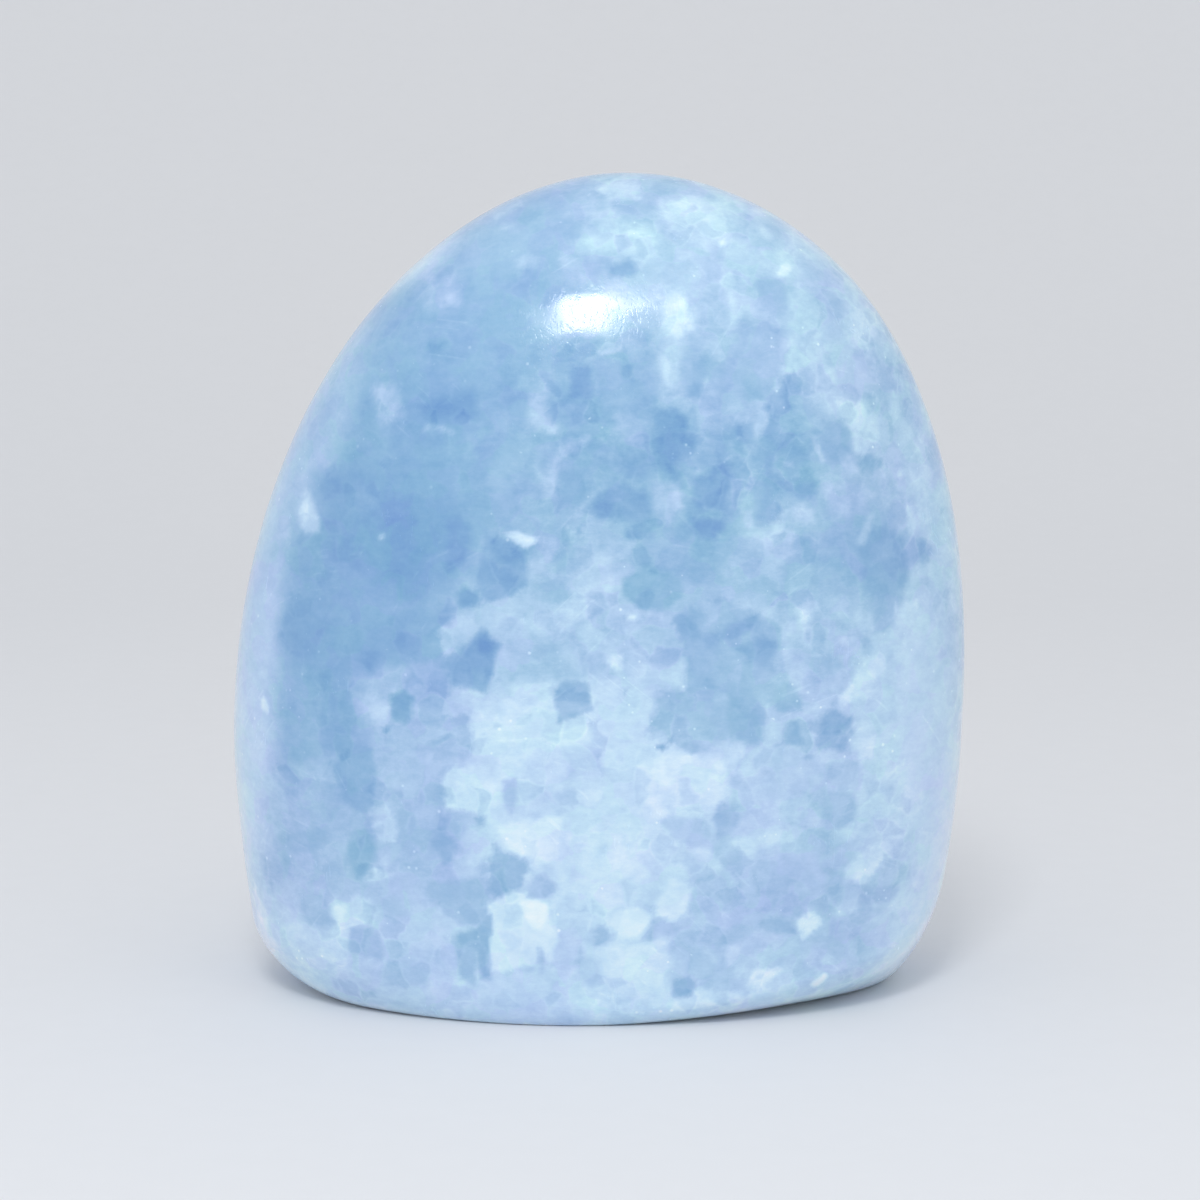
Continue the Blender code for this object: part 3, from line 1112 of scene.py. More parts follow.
FRONT_PATCHES = (
    Mark("heart", 0.63, 0, 0.28, (-12.4, -10.8, -14, -13, -13.4, -18.4, -17.6, -19, -17.2, -23.2,
        -12.6, -23.4, -12.4, -25.4, -10.6, -27.4, -8.2, -28.4, -7.8, -30, -8.4, -31.2, -5, -31.4, -5.4, -36,
        -2, -37.4, 1, -34.4, 6, -33.8, 10.2, -31.2, 12, -30.6, 13.6, -29.6, 12, -27.6, 8.6, -26.8,
        6.8, -24.4, 11.6, -24, 12.6, -26.2, 14.4, -19.6, 13, -17.6, 8, -16.6, 6, -16.6, 4.8, -14.6,
        6.2, -10.3, 9.2, -10, 9.4, -7, 9, -4.4, 7.6, -2.2, -1, -0.1, -4.6, 0, -6.8, -0.6, -10.2, -3.8,
        -11.2, -6)),
    Mark("heart brow", 0.50, 0, 0.7, (-11, -5, -8.4, -2.2, -4.6, 0, 7.6, -2.2, 9, -4.4, 9.4, -7, 6, -8,
        2.6, -8, 0, -9, -11.4, -9)),
    Mark("arched band", 0.63, 0, 0.35, (-9.8, -3.8, -6.8, -0.6, -4.6, 0, -1.4, -0.1, -0.8, -1.4,
        -4.6, -4.1)),
    Mark("grey hollow", 0.43, 0.1, 0.7, (-10.4, -5, -5, -4.6, -4.4, -8.6, -10, -9)),
    Mark("right brow", 0.64, 0, 0.56, (2.6, -7.4, 6, -7, 9.4, -7.6, 9, -10, 6.3, -10.2, 4.4, -14, 3, -12,
        2.2, -9)),
    Mark("pale column", 0.70, 0.1, 0.42, (-7.2, -9.4, -5.8, -9.2, -5.4, -10.6, -6, -12.6, -7.2, -12.6)),
    Mark("left lobe", 0.66, 0, 0.3, (-14, -12.6, -12.4, -11.4, -11.4, -13, -11, -16, -13.6, -16.6)),
    Mark("mint crescent", 0.76, 0.3, 0.3, (-6, -15, -2, -13.8, -0.8, -14.4, -1, -15.8, -5.4, -16.4)),
    Mark("small milk", 0.82, 0, 0.35, (0.4, -6.4, 2.4, -6.2, 2.6, -7.4, 2, -8.3)),
    Mark("bright strip", 0.69, 0, 0.28, (4.3, -14.6, 5.2, -11, 6.2, -10.3, 6, -11.8, 5, -14.4)),
    Mark("lavender hollow", 0.52, -0.3, 0.4, (-4, -16.8, 0, -16.6, 0.4, -19.6, -3.6, -20)),
    Mark("heart right", 0.72, 0, 0.28, (4, -18.4, 8.2, -16.9, 13, -17.6, 14.4, -19.6, 13.2, -22.8, 11, -24,
        6.4, -24.2, 4.6, -22)),
    Mark("heart left", 0.66, 0.2, 0.28, (-17.6, -19, -13.4, -18.2, -9.6, -19, -9, -23, -12.6, -23.4,
        -17.2, -23.2)),
    Mark("heart centre", 0.80, 0.1, 0.3, (-11.4, -25.2, -9, -24.4, -4, -24, -3, -28, -7, -29.6, -8.2, -28.4,
        -10.2, -27.6)),
    Mark("heart floor", 0.68, 0, 0.4, (-4, -24, 2, -25, 4, -30, 0, -33.4, -4.6, -33, -5, -30)),
    Mark("pale smear", 0.55, -0.2, 0.3, (-18, -3.4, -16, -1.8, -14, -1.8, -13.6, -3, -14.4, -4.6,
        -15.8, -5.8, -17, -6.2)),
    Mark("grey smear", 0.42, -0.4, 0.56, (-25.3, -8.6, -22, -7, -17.6, -6.8, -16.4, -9.8, -13.6, -10.6,
        -14.2, -12.4, -17, -13, -20, -12, -22.4, -9.4, -23.4, -11.3, -24.8, -10)),
    Mark("smear core", 0.48, -0.3, 0.56, (-24.5, -8.6, -23.6, -7.7, -22, -8, -22.4, -9, -24, -9.2)),
    Mark("left block", 0.36, -0.3, 0.28, (-23, -14, -20, -13, -14.6, -12.8, -14.2, -17.4, -16.6, -18.4,
        -18, -21, -23.6, -21.4, -24.6, -18)),
    Mark("pale cloud", 0.56, 0, 0.3, (-25.6, -23.8, -24.6, -22.4, -23, -23, -22.4, -25, -22.6, -26.6,
        -24, -27, -25.2, -26)),
    Mark("pale chip", 0.62, 0, 0.28, (-26, -30.4, -25, -29.8, -23.4, -30.2, -23, -31, -25.8, -31.4)),
    Mark("pale swoosh", 0.65, 0, 0.28, (-29.7, -34.6, -28.6, -33.4, -27, -32.6, -25.6, -33.4, -25.2, -34.6,
        -26, -36, -27.6, -36.3, -28.2, -38, -28, -41.8, -32, -41.8, -35.8, -36.4, -33, -35.8, -31, -36.9,
        -30.2, -36.7, -29, -35.2)),
    Mark("swoosh core", 0.68, 0, 0.28, (-29.6, -34.6, -28.6, -33.6, -27.6, -34, -28.4, -35.2)),
    Mark("smooth block", 0.48, -0.3, 0.28, (-24.8, -34.6, -16.2, -36.4, -15.8, -41.6, -23.6, -40.2,
        -24.4, -38)),
    Mark("mid column", 0.43, 0, 0.28, (-13.8, -29, -12.2, -28.4, -12.2, -33, -12.6, -34, -14, -31.6)),
    Mark("lower pale", 0.65, 0, 0.28, (0.4, -38.4, 7.4, -38, 7.8, -40, 7.4, -43.4, 2, -44, 0.4, -40.6)),
    Mark("edge milk", 0.76, -0.1, 0.3, (8.5, -43.4, 12.7, -43, 16, -43.3, 15.7, -44.8, 9.6, -45.8,
        8, -45.4)),
    Mark("wide blue", 0.34, 0, 0.35, (8, -2.2, 10, -0.8, 13.6, 0.2, 17.6, -1.4, 20, -3, 20.6, -9, 22, -12.6,
        18, -16, 9.8, -17, 5, -14.8, 6.4, -10.3, 9.6, -10, 9.6, -6)),
    Mark("light facet", 0.41, 0, 0.42, (10.4, -3.4, 11.4, -0.6, 13.6, -0.4, 13, -3, 12, -4)),
    Mark("pale rows", 0.52, 0, 0.3, (18.2, -11.4, 20, -12.6, 24, -12.6, 24, -16.6, 18, -16.2)),
    Mark("right cloud", 0.74, 0.1, 0.42, (29.4, -6.4, 30.6, -5.8, 31.2, -4.8, 31.8, -6, 31.8, -8.2,
        30.4, -8.6, 30.4, -11, 27, -11.4, 26.4, -10.8, 28, -9)),
    Mark("flank pale", 0.61, 0, 0.5, (28.4, -12, 32.4, -13, 33, -17, 29, -18)),
    Mark("mid light", 0.78, 0, 0.42, (23, 0, 23.8, -0.6, 22.8, -2.4, 21.6, -1.4)),
    Mark("flank wisp", 0.58, 0, 0.42, (24.2, -6.6, 25.2, -4.6, 28.6, -3.2, 27.8, -4.6, 26, -5.2)),
    Mark("crown cloud", 0.72, 0.2, 0.78, (6.3, 44.3, 9.4, 45.1, 13.2, 44.3, 15.4, 43.2, 15, 40.6, 13.6, 39.2,
        10.2, 39.6, 6.9, 42.1)),
    Mark("crown wisp", 0.70, 0.2, 0.45, (-0.5, 46.2, 4, 46.5, 4.7, 44.4, 1, 44.3)),
    Mark("mint swoosh", 0.65, 0.4, 1.04, (-3, 39.4, -1, 41, 2.5, 42, 5.5, 41.8, 7.2, 40.6, 6, 38.4, 2, 38,
        -1.6, 38.4)),
    Mark("mint core", 0.88, 0.5, 0.45, (3, 40.6, 4.6, 41.4, 6, 41, 5.6, 40.2)),
    Mark("tall milk", 0.56, 0.3, 1.17, (6.8, 39, 9.6, 39.5, 10.2, 35, 10, 31, 9, 28, 8.6, 22.4, 6.4, 22,
        6.6, 27, 6.2, 30, 7, 34)),
    Mark("milk pool", 0.84, 0.2, 1.04, (6.8, 33.6, 9, 34.4, 10.4, 32.4, 10, 30, 8.4, 28.8, 6.9, 30)),
    Mark("grey brow", 0.52, -0.4, 0.65, (-4.6, 38, 0, 38, 0.6, 35.6, -4, 34.8)),
    Mark("left chip", 0.55, 0, 0.52, (-9.6, 37, -8.4, 38, -6.8, 38, -6.4, 36.8)),
    Mark("upper left cloud", 0.52, -0.3, 1.17, (-20.4, 34, -19, 36, -16, 36.2, -15.6, 33, -18, 31.4)),
    Mark("left dapple", 0.52, -0.3, 0.8, (-25.4, 24, -22.6, 23.6, -22, 20, -24.4, 19.6)),
    Mark("tall pale", 0.60, 0.3, 0.52, (20.8, 34, 22.4, 35.4, 24.4, 33, 24.6, 29, 23.8, 25.6, 20.4, 24.6,
        19.4, 22.4, 18.8, 24, 20.4, 27, 21, 30)),
    Mark("glint halo", 0.66, 0.4, 1.17, (18.4, 36, 19.6, 38.6, 22.6, 38.4, 23, 36, 20.4, 35.2)),
    Mark("east cloud", 0.68, 0.3, 0.45, (26, 22, 30.5, 22, 31, 18.4, 29.8, 16.2, 28.2, 16.2, 27.6, 19)),
    Mark("east core", 0.80, 0.4, 0.45, (27.4, 22, 29.4, 22, 29.4, 19.6, 28.4, 18)),
    Mark("shoulder milk", 0.68, -0.2, 0.45, (27.6, 30, 28.4, 33.4, 29.6, 32.8, 30.4, 29.6, 29.8, 27.5,
        28.1, 28)),
    Mark("vein east", 0.46, 0, 0.45, (28.2, 16.2, 28.6, 15.4, 24.6, 12.6, 24.2, 13.3)),
    Mark("network high", 0.46, 0, 0.65, (10, 20, 11, 21.8, 14, 22.3, 16.4, 21.6, 18.6, 22.4, 17.4, 16.6,
        16.8, 17, 17, 20, 14, 20, 12, 19, 10.3, 18.8)),
    Mark("network west", 0.41, -0.2, 0.52, (1.6, 20.6, 5.8, 20.3, 5.6, 18.6, 4.6, 16.8, 3.4, 17.2,
        1.8, 18.6)),
    Mark("network islet", 0.38, -0.2, 0.45, (5.5, 13, 8.8, 13.2, 9.5, 10.2, 7.4, 8.2, 6.2, 8)),
    Mark("islet core", 0.46, -0.3, 0.45, (7.5, 13, 8.8, 12.8, 9.2, 10.6, 8.4, 10)),
    Mark("network low", 0.34, 0, 0.65, (1, 6, 5, 6.4, 8, 7.4, 10, 6, 9.4, 3.4, 1, 4.4)),
    Mark("left column", 0.30, 0, 0.52, (-12.2, 13, -11.4, 15.5, -9.8, 16.5, -8.6, 16, -8.4, 12, -9.5, 9.8,
        -11, 10.2)),
    Mark("left wisp", 0.53, 0, 0.8, (-8, 24.6, -5.6, 25, -5.6, 20, -4.6, 19, -5.4, 18.4, -7.8, 19.2,
        -8.3, 20.5)),
    Mark("ridge", 0.52, 0, 0.45, (-6.4, 10.6, -6.4, 13, -5.4, 15.6, -3.6, 17.6, -1.4, 18, -2, 16.4,
        -4.4, 15.4, -4.8, 13.4, -4.6, 11)),
    Mark("low ridge", 0.52, 0, 0.45, (-3.6, 8, -2.4, 10.4, -0.8, 11.8, -0.6, 11, -2.6, 7.4)),
    Mark("wedge foot", 0.46, 0, 0.65, (-8.2, 5.6, -6.6, 6.3, -4.6, 6, -5, 2.6, -7.8, 2.4)),
    Mark("cloud east", 0.48, 0, 0.52, (18.2, 5.8, 18.4, 7.2, 21.4, 8.6, 22, 6.6, 21.2, 4.6, 19.5, 4.4)),
    Mark("spot east", 0.57, 0, 0.45, (21.2, 10.4, 23.6, 9.6, 23.6, 8.4, 22.8, 7.9, 21.6, 8.8)),
    Mark("islet east", 0.46, -0.3, 0.65, (24.8, 12.8, 28.4, 13, 29.8, 11, 28, 9.4, 25.4, 9.6)),
    Mark("low pale right", 0.65, -0.1, 0.28, (27, -30, 27.4, -31.2, 28.8, -31.4, 30.2, -30.8, 30.6, -30,
        32, -29, 32.2, -27.6, 31.4, -26.6, 30, -27.2)),
    Mark("low right core", 0.75, -0.1, 0.28, (28.4, -29.6, 30.4, -29.6, 30, -30.8, 28.2, -31)),
    Mark("low right milk", 0.78, 0, 0.28, (21.8, -35.6, 23, -34.4, 24, -34.6, 24.6, -36, 22.6, -37.2,
        22, -36.6)),
    Mark("edge right milk", 0.80, -0.1, 0.28, (17, -41.2, 20.2, -40.4, 20, -41.2, 17.4, -43.4, 17, -43)),
    Mark("ringed pale", 0.70, -0.2, 0.4, (33.1, -21, 35.8, -20.2, 36.4, -22.1, 34.7, -25.1, 33.3, -24)),
    Mark("right ring", 0.58, 0, 0.4, (26, -33.6, 28, -33.2, 28.4, -35, 27.4, -36, 25.8, -35.4)),
    Mark("low fleck", 0.62, 0, 0.3, (14, -26.6, 15.6, -26, 17.2, -26.6, 16.8, -28.4, 15.6, -28)),
    Mark("low veil", 0.58, 0, 0.3, (18, -26, 20.8, -25, 21.6, -25.4, 21.4, -27, 18.6, -27.2)),
    # Painted reflection: a bright crescent along the lower left rim, where the edge mirrors the room.
    Mark("rim crescent", 0.74, -0.3, 0.3, (-38.4, -31, -36.6, -37, -35.4, -39.4, -35.9, -39.9, -37.4, -38,
        -38.4, -34.6)),
    Mark("thin pale line", 0.66, 0.2, 0.3, (13.6, 36, 14.4, 36.2, 15.4, 31, 14.6, 30.6)),
    Mark("crystal edge light", 0.34, 0.1, 0.3, (-12.2, 7, -13.8, 6, -14.9, 3.4, -13.2, 5.4, -12, 6.4)),
    Mark("upright wisp", 0.48, 0.1, 0.3, (17, 16.8, 17.2, 19, 18, 21.4, 18.6, 21, 18, 18.8, 17.5, 16.5)),
    Mark("small wisp", 0.44, -0.2, 0.3, (15.8, 10, 16.6, 10.3, 16.9, 8.6, 16.4, 7.8)),
    Mark("pale spot east", 0.52, -0.2, 0.35, (26.4, 10.4, 27.6, 10.6, 27.6, 9.6, 26.6, 9.5)),
    Mark("pale spot low", 0.50, -0.2, 0.4, (23.3, 7, 24.4, 6.8, 24.2, 5.8, 23.4, 5.8)),
    Mark("broken pale", 0.55, -0.1, 0.35, (33.8, 3.6, 36.4, 4, 37, 2.2, 34.4, 2)),
)

FRONT_CRYSTALS = (
    Mark("hooded crystal", 0.25, 0, 0.28, (-13, 6, -11.7, 6.7, -10, 6.7, -8.1, 5.3, -8, 1.7, -10.3, 0.1,
        -12.3, -0.2, -13.8, 1.2)),
    Mark("dark hood", 0.13, 0, 0.28, (-12, 6.7, -11, 7, -8.6, 5.2, -8.1, 4.3, -9.5, 4, -11.5, 4.6,
        -12.3, 5.4)),
    Mark("dark wedge", 0.19, -0.1, 0.28, (-13, -3.2, -10.9, -5, -12.6, -10.4, -16.3, -9.6, -16.8, -8.4,
        -16, -6.8)),
    Mark("wedge heart", 0.09, -0.1, 0.28, (-13.7, -4.8, -12.9, -3.4, -11.6, -4.6, -12, -5.8, -13.4, -5.9)),
    Mark("heart crystal", 0.29, -0.1, 0.28, (-4.8, -9.6, -3.8, -9.2, -1.2, -9.2, -1.1, -12.2, -2, -12.8,
        -4.6, -13.6, -4.6, -12.4, -5.3, -11.4)),
    Mark("heart dimple", 0.44, -0.1, 0.4, (-2.3, -6.8, -1.2, -6.2, -0.4, -7.4, -0.6, -8.2, -1.8, -8.2)),
    Mark("left column crystal", 0.20, 0, 0.28, (-28.9, -17, -27, -16.2, -25.2, -16.4, -24.8, -19.5,
        -25, -22.6, -26, -23.6, -27.4, -23, -28.4, -22, -29.5, -18.8)),
    Mark("sea crystal", 0.13, 0.5, 0.28, (-23.2, -10.6, -21.6, -10.2, -20.8, -11, -20.8, -13, -21.4, -13.7,
        -22.6, -13.4, -23.2, -12)),
    Mark("dark pit", 0.00, 0, 0.28, (-24.2, -14.3, -23.5, -14.2, -23.3, -14.8, -24, -14.9)),
    Mark("sea shard", 0.25, 0.4, 0.28, (-27, -25.4, -25.8, -25.2, -24.6, -27.4, -25, -29, -27, -31,
        -28.1, -28, -27.8, -26.6)),
    Mark("west shadow", 0.28, -0.1, 0.4, (-36, -26.4, -34, -25.6, -30.6, -25.8, -30.2, -27, -31.6, -28,
        -34.4, -28, -34.2, -29.4, -35.2, -29.4)),
    Mark("swoosh hollow", 0.44, -0.2, 0.28, (-33.4, -33.4, -31, -32, -30, -33.6, -30, -35, -29.4, -35.6,
        -30.4, -36.8, -32.6, -35.4)),
    Mark("foot block", 0.38, -0.3, 0.3, (-27.6, -36.4, -25.6, -36, -24.4, -37, -24, -38.6, -24.2, -40,
        -27.8, -39)),
    Mark("foot ring", 0.41, 0, 0.5, (-24.8, -34.4, -23.6, -32.6, -21.6, -32.8, -21.4, -34.4, -23, -35.2)),
    Mark("grey speck", 0.28, -0.1, 0.28, (-19.3, -26.4, -19, -25.8, -16.9, -25.2, -17, -26, -16, -26.8,
        -16, -28, -16.8, -29.3, -17.2, -29.2, -17.6, -28)),
    Mark("small jag", 0.26, 0, 0.28, (-13.9, -24.2, -12.6, -23.9, -12.7, -25, -13.6, -25.1)),
    Mark("blue block", 0.38, 0, 0.28, (-19, -31.2, -13, -30.9, -12.2, -35, -13.6, -36, -15.4, -36.2,
        -18.4, -33.6, -19.2, -32.4)),
    Mark("jagged crystal", 0.29, 0.1, 0.28, (-12.2, -26.2, -11, -27.6, -8.1, -29, -7.9, -30.2, -8.5, -30.8,
        -8.4, -31.9, -11.6, -33.1, -12.2, -32.2, -12.2, -28.6, -11.8, -28)),
    Mark("small lavender", 0.48, -0.3, 0.28, (-8.4, -31.8, -7.6, -30.8, -6.4, -30.4, -5.2, -31.4, -5.2, -33,
        -6.4, -33.4, -8, -32.8)),
    Mark("dark strip", 0.28, 0.1, 0.28, (-15.8, -37, -14, -36.6, -12, -34.8, -11.8, -36, -12.4, -39.6,
        -12, -42, -13.4, -42, -13.6, -39, -15.6, -38)),
    Mark("strip foot", 0.38, 0, 0.28, (-15.8, -38.4, -13.8, -38.8, -13.6, -42.6, -15.6, -42)),
    Mark("jagged milk", 0.78, 0.2, 0.28, (-12.5, -33.9, -10, -32.4, -8.7, -32.2, -8, -33, -6.4, -33.4,
        -5.8, -34, -5.4, -36, -4.6, -36.6, -4.4, -38, -5.4, -38.6, -5.4, -40.6, -6, -40.2, -6.4, -39,
        -6.8, -40, -10.4, -41.2, -12, -41, -12.2, -38, -11.8, -36.6, -12, -34.8)),
    Mark("milk star", 0.79, 0.1, 0.28, (0.6, -35.4, 2, -34.2, 4.6, -34, 5.6, -34.8, 5.6, -36, 4.4, -37.4,
        3.2, -37.9, 2.4, -37.8, 0.8, -36.2)),
    Mark("milk wedge", 0.74, 0, 0.28, (6, -33.8, 8.2, -31, 10.2, -31.2, 9.8, -34.6, 8.4, -35.4, 6.2, -35.2)),
    Mark("wedge shadow", 0.42, -0.2, 0.28, (5.8, -35.4, 8.6, -35.6, 9.8, -35.1, 10.4, -35.2, 8, -37.2,
        4.2, -37.8)),
    Mark("star shadow", 0.45, 0, 0.28, (-0.8, -36.6, 0.2, -35.6, 1.8, -37.2, 1.8, -37.7, -0.4, -38.3,
        -1.6, -37.8, -1.4, -37.4, -0.2, -37.2)),
    Mark("lavender shard", 0.46, -0.4, 0.28, (-10.9, -20, -9.3, -19.8, -9.2, -22.6, -9.9, -24,
        -10.8, -22.4)),
    Mark("low shadow", 0.52, -0.3, 0.28, (6.6, -24.4, 7.8, -24, 11.2, -24.4, 11.4, -26.3, 12.8, -26.8,
        12, -27.4, 8.6, -26.6)),
    Mark("notch crystal", 0.35, -0.2, 0.28, (13.4, -22.4, 15.2, -23, 15.8, -24.4, 14.6, -25.8, 13, -26.4,
        12.9, -25, 12.4, -24.4)),
    Mark("low grain", 0.50, 0, 0.3, (13.6, -28.4, 15, -27.8, 15.8, -29, 14.6, -29.8)),
    Mark("edge blue", 0.28, 0, 0.3, (8.2, -42, 9.8, -41.4, 10.6, -42.4, 10, -44, 8, -44)),
    Mark("edge block", 0.46, 0, 0.4, (8, -38, 11, -38.4, 13, -41, 12, -43, 10.6, -41.4, 8, -41.4)),
    Mark("foot hollow", 0.52, 0, 0.4, (-2, -39.6, 0, -40, 0.4, -42, -1, -43, -2.8, -41.6)),
    Mark("low dash", 0.42, 0, 0.3, (12.6, -38, 15, -35.8, 17, -36.4, 15.6, -37.6, 13, -38.6)),
    Mark("ledge crescent", 0.05, 0, 0.28, (6.2, -16.3, 7.3, -15.8, 7.7, -14.9, 8.2, -15, 8, -16.1,
        7, -16.7)),
    Mark("ledge foot", 0.26, 0, 0.28, (8.6, -16.2, 9.6, -15.4, 11, -16.4, 10, -17)),
    Mark("ledge top", 0.26, 0, 0.3, (8.4, -2, 9.6, -1.8, 11, -3.6, 10.4, -4.4, 9, -4)),
    Mark("ledge east", 0.22, -0.2, 0.28, (11.4, -4.2, 13.4, -3.6, 14, -2.8, 17.6, -1.4, 17.4, -2.6, 16, -4,
        13.6, -4.6, 12, -5.4)),
    Mark("grey facet", 0.22, -0.1, 0.4, (14.4, -5, 18.4, -4.2, 19.6, -5, 19, -7.2, 16, -7)),
    Mark("facet dot", 0.27, 0, 0.4, (11.6, -9, 12.6, -8.8, 12.8, -10.4, 11.8, -10.4)),
    Mark("facet column", 0.25, 0.3, 0.4, (14.2, -9.4, 15.2, -9.4, 15.4, -12, 14.4, -12)),
    Mark("sea block", 0.28, 0.3, 0.28, (14.1, -12.4, 17.4, -12.3, 18.1, -13.8, 17.9, -15.8, 14.4, -15.8)),
    Mark("neighbour crystal", 0.34, 0, 0.28, (20.4, -13.6, 21.6, -13.2, 22.6, -16.2, 20.4, -16)),
    Mark("gap crystal", 0.29, 0.4, 0.4, (19.6, -9.6, 20.8, -9, 21.8, -9.8, 22, -12, 20, -12.4, 19.2, -11)),
    Mark("round crystal", 0.32, -0.1, 0.28, (22.9, -13.8, 24.4, -13.6, 24.8, -12.4, 26, -11.8, 26.8, -12.6,
        28.2, -12.8, 28, -15, 27, -16.6, 24.4, -16.8, 23.8, -16.2, 24.2, -15, 23, -14.4)),
    Mark("round core", 0.18, -0.1, 0.28, (24.5, -13, 26, -12.2, 28, -12.9, 27.8, -14.2, 26.8, -14.4,
        26.3, -15, 24.4, -14.9)),
    Mark("nub", 0.36, 0, 0.28, (25.5, -11.5, 26.1, -10.8, 26.4, -11.3, 26, -11.7)),
    Mark("dash", 0.28, -0.2, 0.28, (22.2, -17.4, 22.8, -17.1, 23.4, -17.4, 22.8, -17.8)),
    Mark("dark bead", 0.15, 0, 0.28, (16.2, -2.8, 16.6, -1.6, 17.6, -1.5, 17.4, -2.7)),
    Mark("flank dapple", 0.40, 0, 0.3, (28.4, -4, 29.6, -3.8, 30, -5, 29.2, -5.2)),
    Mark("flank hollow", 0.46, -0.1, 0.4, (24.6, -6.4, 26.4, -6, 26.8, -7.6, 25, -7.8)),
    Mark("low west", 0.38, 0, 0.3, (25, -30, 27, -30, 26.6, -33.2, 25, -32.8)),
    Mark("low east", 0.40, -0.3, 0.3, (28.4, -32, 33, -31.6, 32.4, -33.4, 29, -33.4)),
    Mark("low bar", 0.38, 0, 0.3, (17.4, -35.6, 20, -35.2, 21.6, -35.8, 21.6, -37, 19.6, -37, 17.6, -36.2)),
    Mark("low bar east", 0.41, -0.1, 0.3, (23.4, -37.2, 27, -37.2, 26.8, -38.4, 23.6, -38.4)),
    Mark("low line", 0.23, 0, 0.28, (21, -24.4, 22.8, -25.1, 22.9, -25.6, 21.1, -24.9)),
    Mark("low blue", 0.38, -0.1, 0.4, (24.6, -21, 28.4, -21.4, 28.2, -25.2, 25, -25.4)),
    Mark("sparkling sea", 0.28, 0.5, 0.28, (2.6, 2.4, 5.4, 3.7, 8.8, 2.3, 9.2, 0.4, 7.6, -1, 4.4, -1,
        2.5, 0.4)),
    Mark("cell high", 0.16, 0.1, 0.56, (6.3, 19.5, 7, 20.8, 8.5, 21.3, 9.6, 20, 9, 15.2, 7.6, 14.2,
        6.6, 15)),
    Mark("cell middle", 0.13, 0, 0.56, (-1.5, 10, 0, 11.8, 2, 12.7, 5, 12.2, 5.7, 11, 5.5, 9, 4.4, 8.3,
        2.5, 9, 0, 8.9)),
    Mark("cell band", 0.18, 0, 0.28, (2.8, 7.9, 6.2, 7.6, 6.2, 6.6, 3, 6.8)),
    Mark("cell column", 0.22, 0, 0.56, (2.6, 16.6, 5.4, 16.4, 5.4, 13.4, 2.8, 13.4)),
    Mark("cell right", 0.13, -0.1, 0.45, (10.3, 13.8, 12, 14, 13.5, 15, 14.4, 14.8, 14.6, 13, 13.4, 9.8,
        11, 9.8, 10.2, 11)),
    Mark("cell under", 0.11, -0.3, 0.36, (10.4, 8.9, 12, 9.2, 13.6, 9, 13.8, 8, 12.6, 6.6, 11, 6.9,
        10.3, 8)),
    Mark("cell wide", 0.32, 0, 0.67, (-0.6, 26.6, 2, 26.1, 6.2, 27.2, 6.4, 23.4, 5.6, 20.8, 0, 20.8)),
    Mark("cell deep", 0.12, -0.1, 0.45, (-3.3, 26.2, -1.1, 25.6, -1.1, 22, -3.4, 22.2)),
    Mark("cell deep foot", 0.27, 0, 0.36, (-5.4, 22, -1.2, 21.8, -1.3, 20.6, -2, 19.2, -3.5, 18.9,
        -5, 19.7)),
    Mark("cell nook", 0.27, 0, 0.36, (-10.6, 22.6, -8.3, 22.4, -8.1, 20.3, -9, 19.2, -10.5, 19.6)),
    Mark("cell oval", 0.28, 0.3, 0.36, (-4.2, 14.5, -3.3, 15.2, -2.3, 14.3, -1.2, 12.5, -1.4, 11.2,
        -2.2, 10.8, -4, 11.2, -4.8, 12)),
    Mark("cell dot", 0.24, 0, 0.36, (15, 18, 15.3, 19.3, 16.6, 19.4, 16.9, 18.2, 16, 17.4)),
    Mark("cell slim", 0.36, 0, 0.39, (8.8, 28, 11, 27.6, 11.4, 24.6, 11.2, 22.2, 9.8, 22.4, 9, 24.4)),
    Mark("slim core", 0.30, 0.1, 0.36, (10, 24.6, 11.2, 24, 11, 22.4, 10, 22.6)),
    Mark("cell striped", 0.40, -0.2, 0.56, (15.6, 31, 18.7, 31.4, 20.4, 30, 20.4, 26.2, 18.4, 22, 15.7, 21.8,
        13.4, 24.2)),
    Mark("striped foot", 0.31, 0.1, 0.45, (15.8, 24.6, 17.4, 25, 18.2, 22, 16, 21.8)),
    Mark("sky cell", 0.43, -0.2, 0.45, (17.4, 35.4, 20.4, 35.6, 20.8, 32.4, 20, 31, 17.6, 31.8)),
    Mark("green dot", 0.37, 0.3, 0.36, (21.6, 24.8, 22.6, 24.8, 22.8, 23.4, 21.8, 23.2)),
    Mark("cell niche", 0.34, 0, 0.36, (18.8, 22.6, 20.6, 22.4, 20.2, 20.8, 18.8, 20.6)),
    Mark("cell east", 0.29, 0.1, 0.45, (24.4, 20, 26.8, 20, 27.6, 18.6, 27.7, 16.6, 26, 14.8, 24.8, 14.6)),
    Mark("sea sliver", 0.28, 0.4, 0.36, (28.3, 15.8, 30.2, 15.9, 31.5, 15.3, 32.2, 14.5, 29.8, 14.4,
        29.4, 13.3, 28.8, 13.6)),
    Mark("cell lavender", 0.55, -0.4, 0.36, (26, 25, 28.4, 27.2, 30.6, 26.7, 30.9, 23.2, 28.7, 22.4,
        26.4, 23.2)),
    Mark("shoulder pool", 0.52, 0, 0.56, (24.8, 34, 27, 33.6, 27.2, 29.4, 25, 28.6)),
    Mark("corner cell", 0.20, 0, 0.36, (21.2, 12.2, 22, 13, 23.8, 13, 24, 11.6, 23.2, 11.2, 21.6, 11.5)),
    Mark("east bead", 0.04, 0, 0.36, (18.8, 9.4, 19.6, 10.4, 20, 9.8, 19.4, 9)),
    Mark("east dimple", 0.33, 0, 0.28, (21.5, 7.2, 22.5, 7, 22.4, 5.6, 21.4, 5.8)),
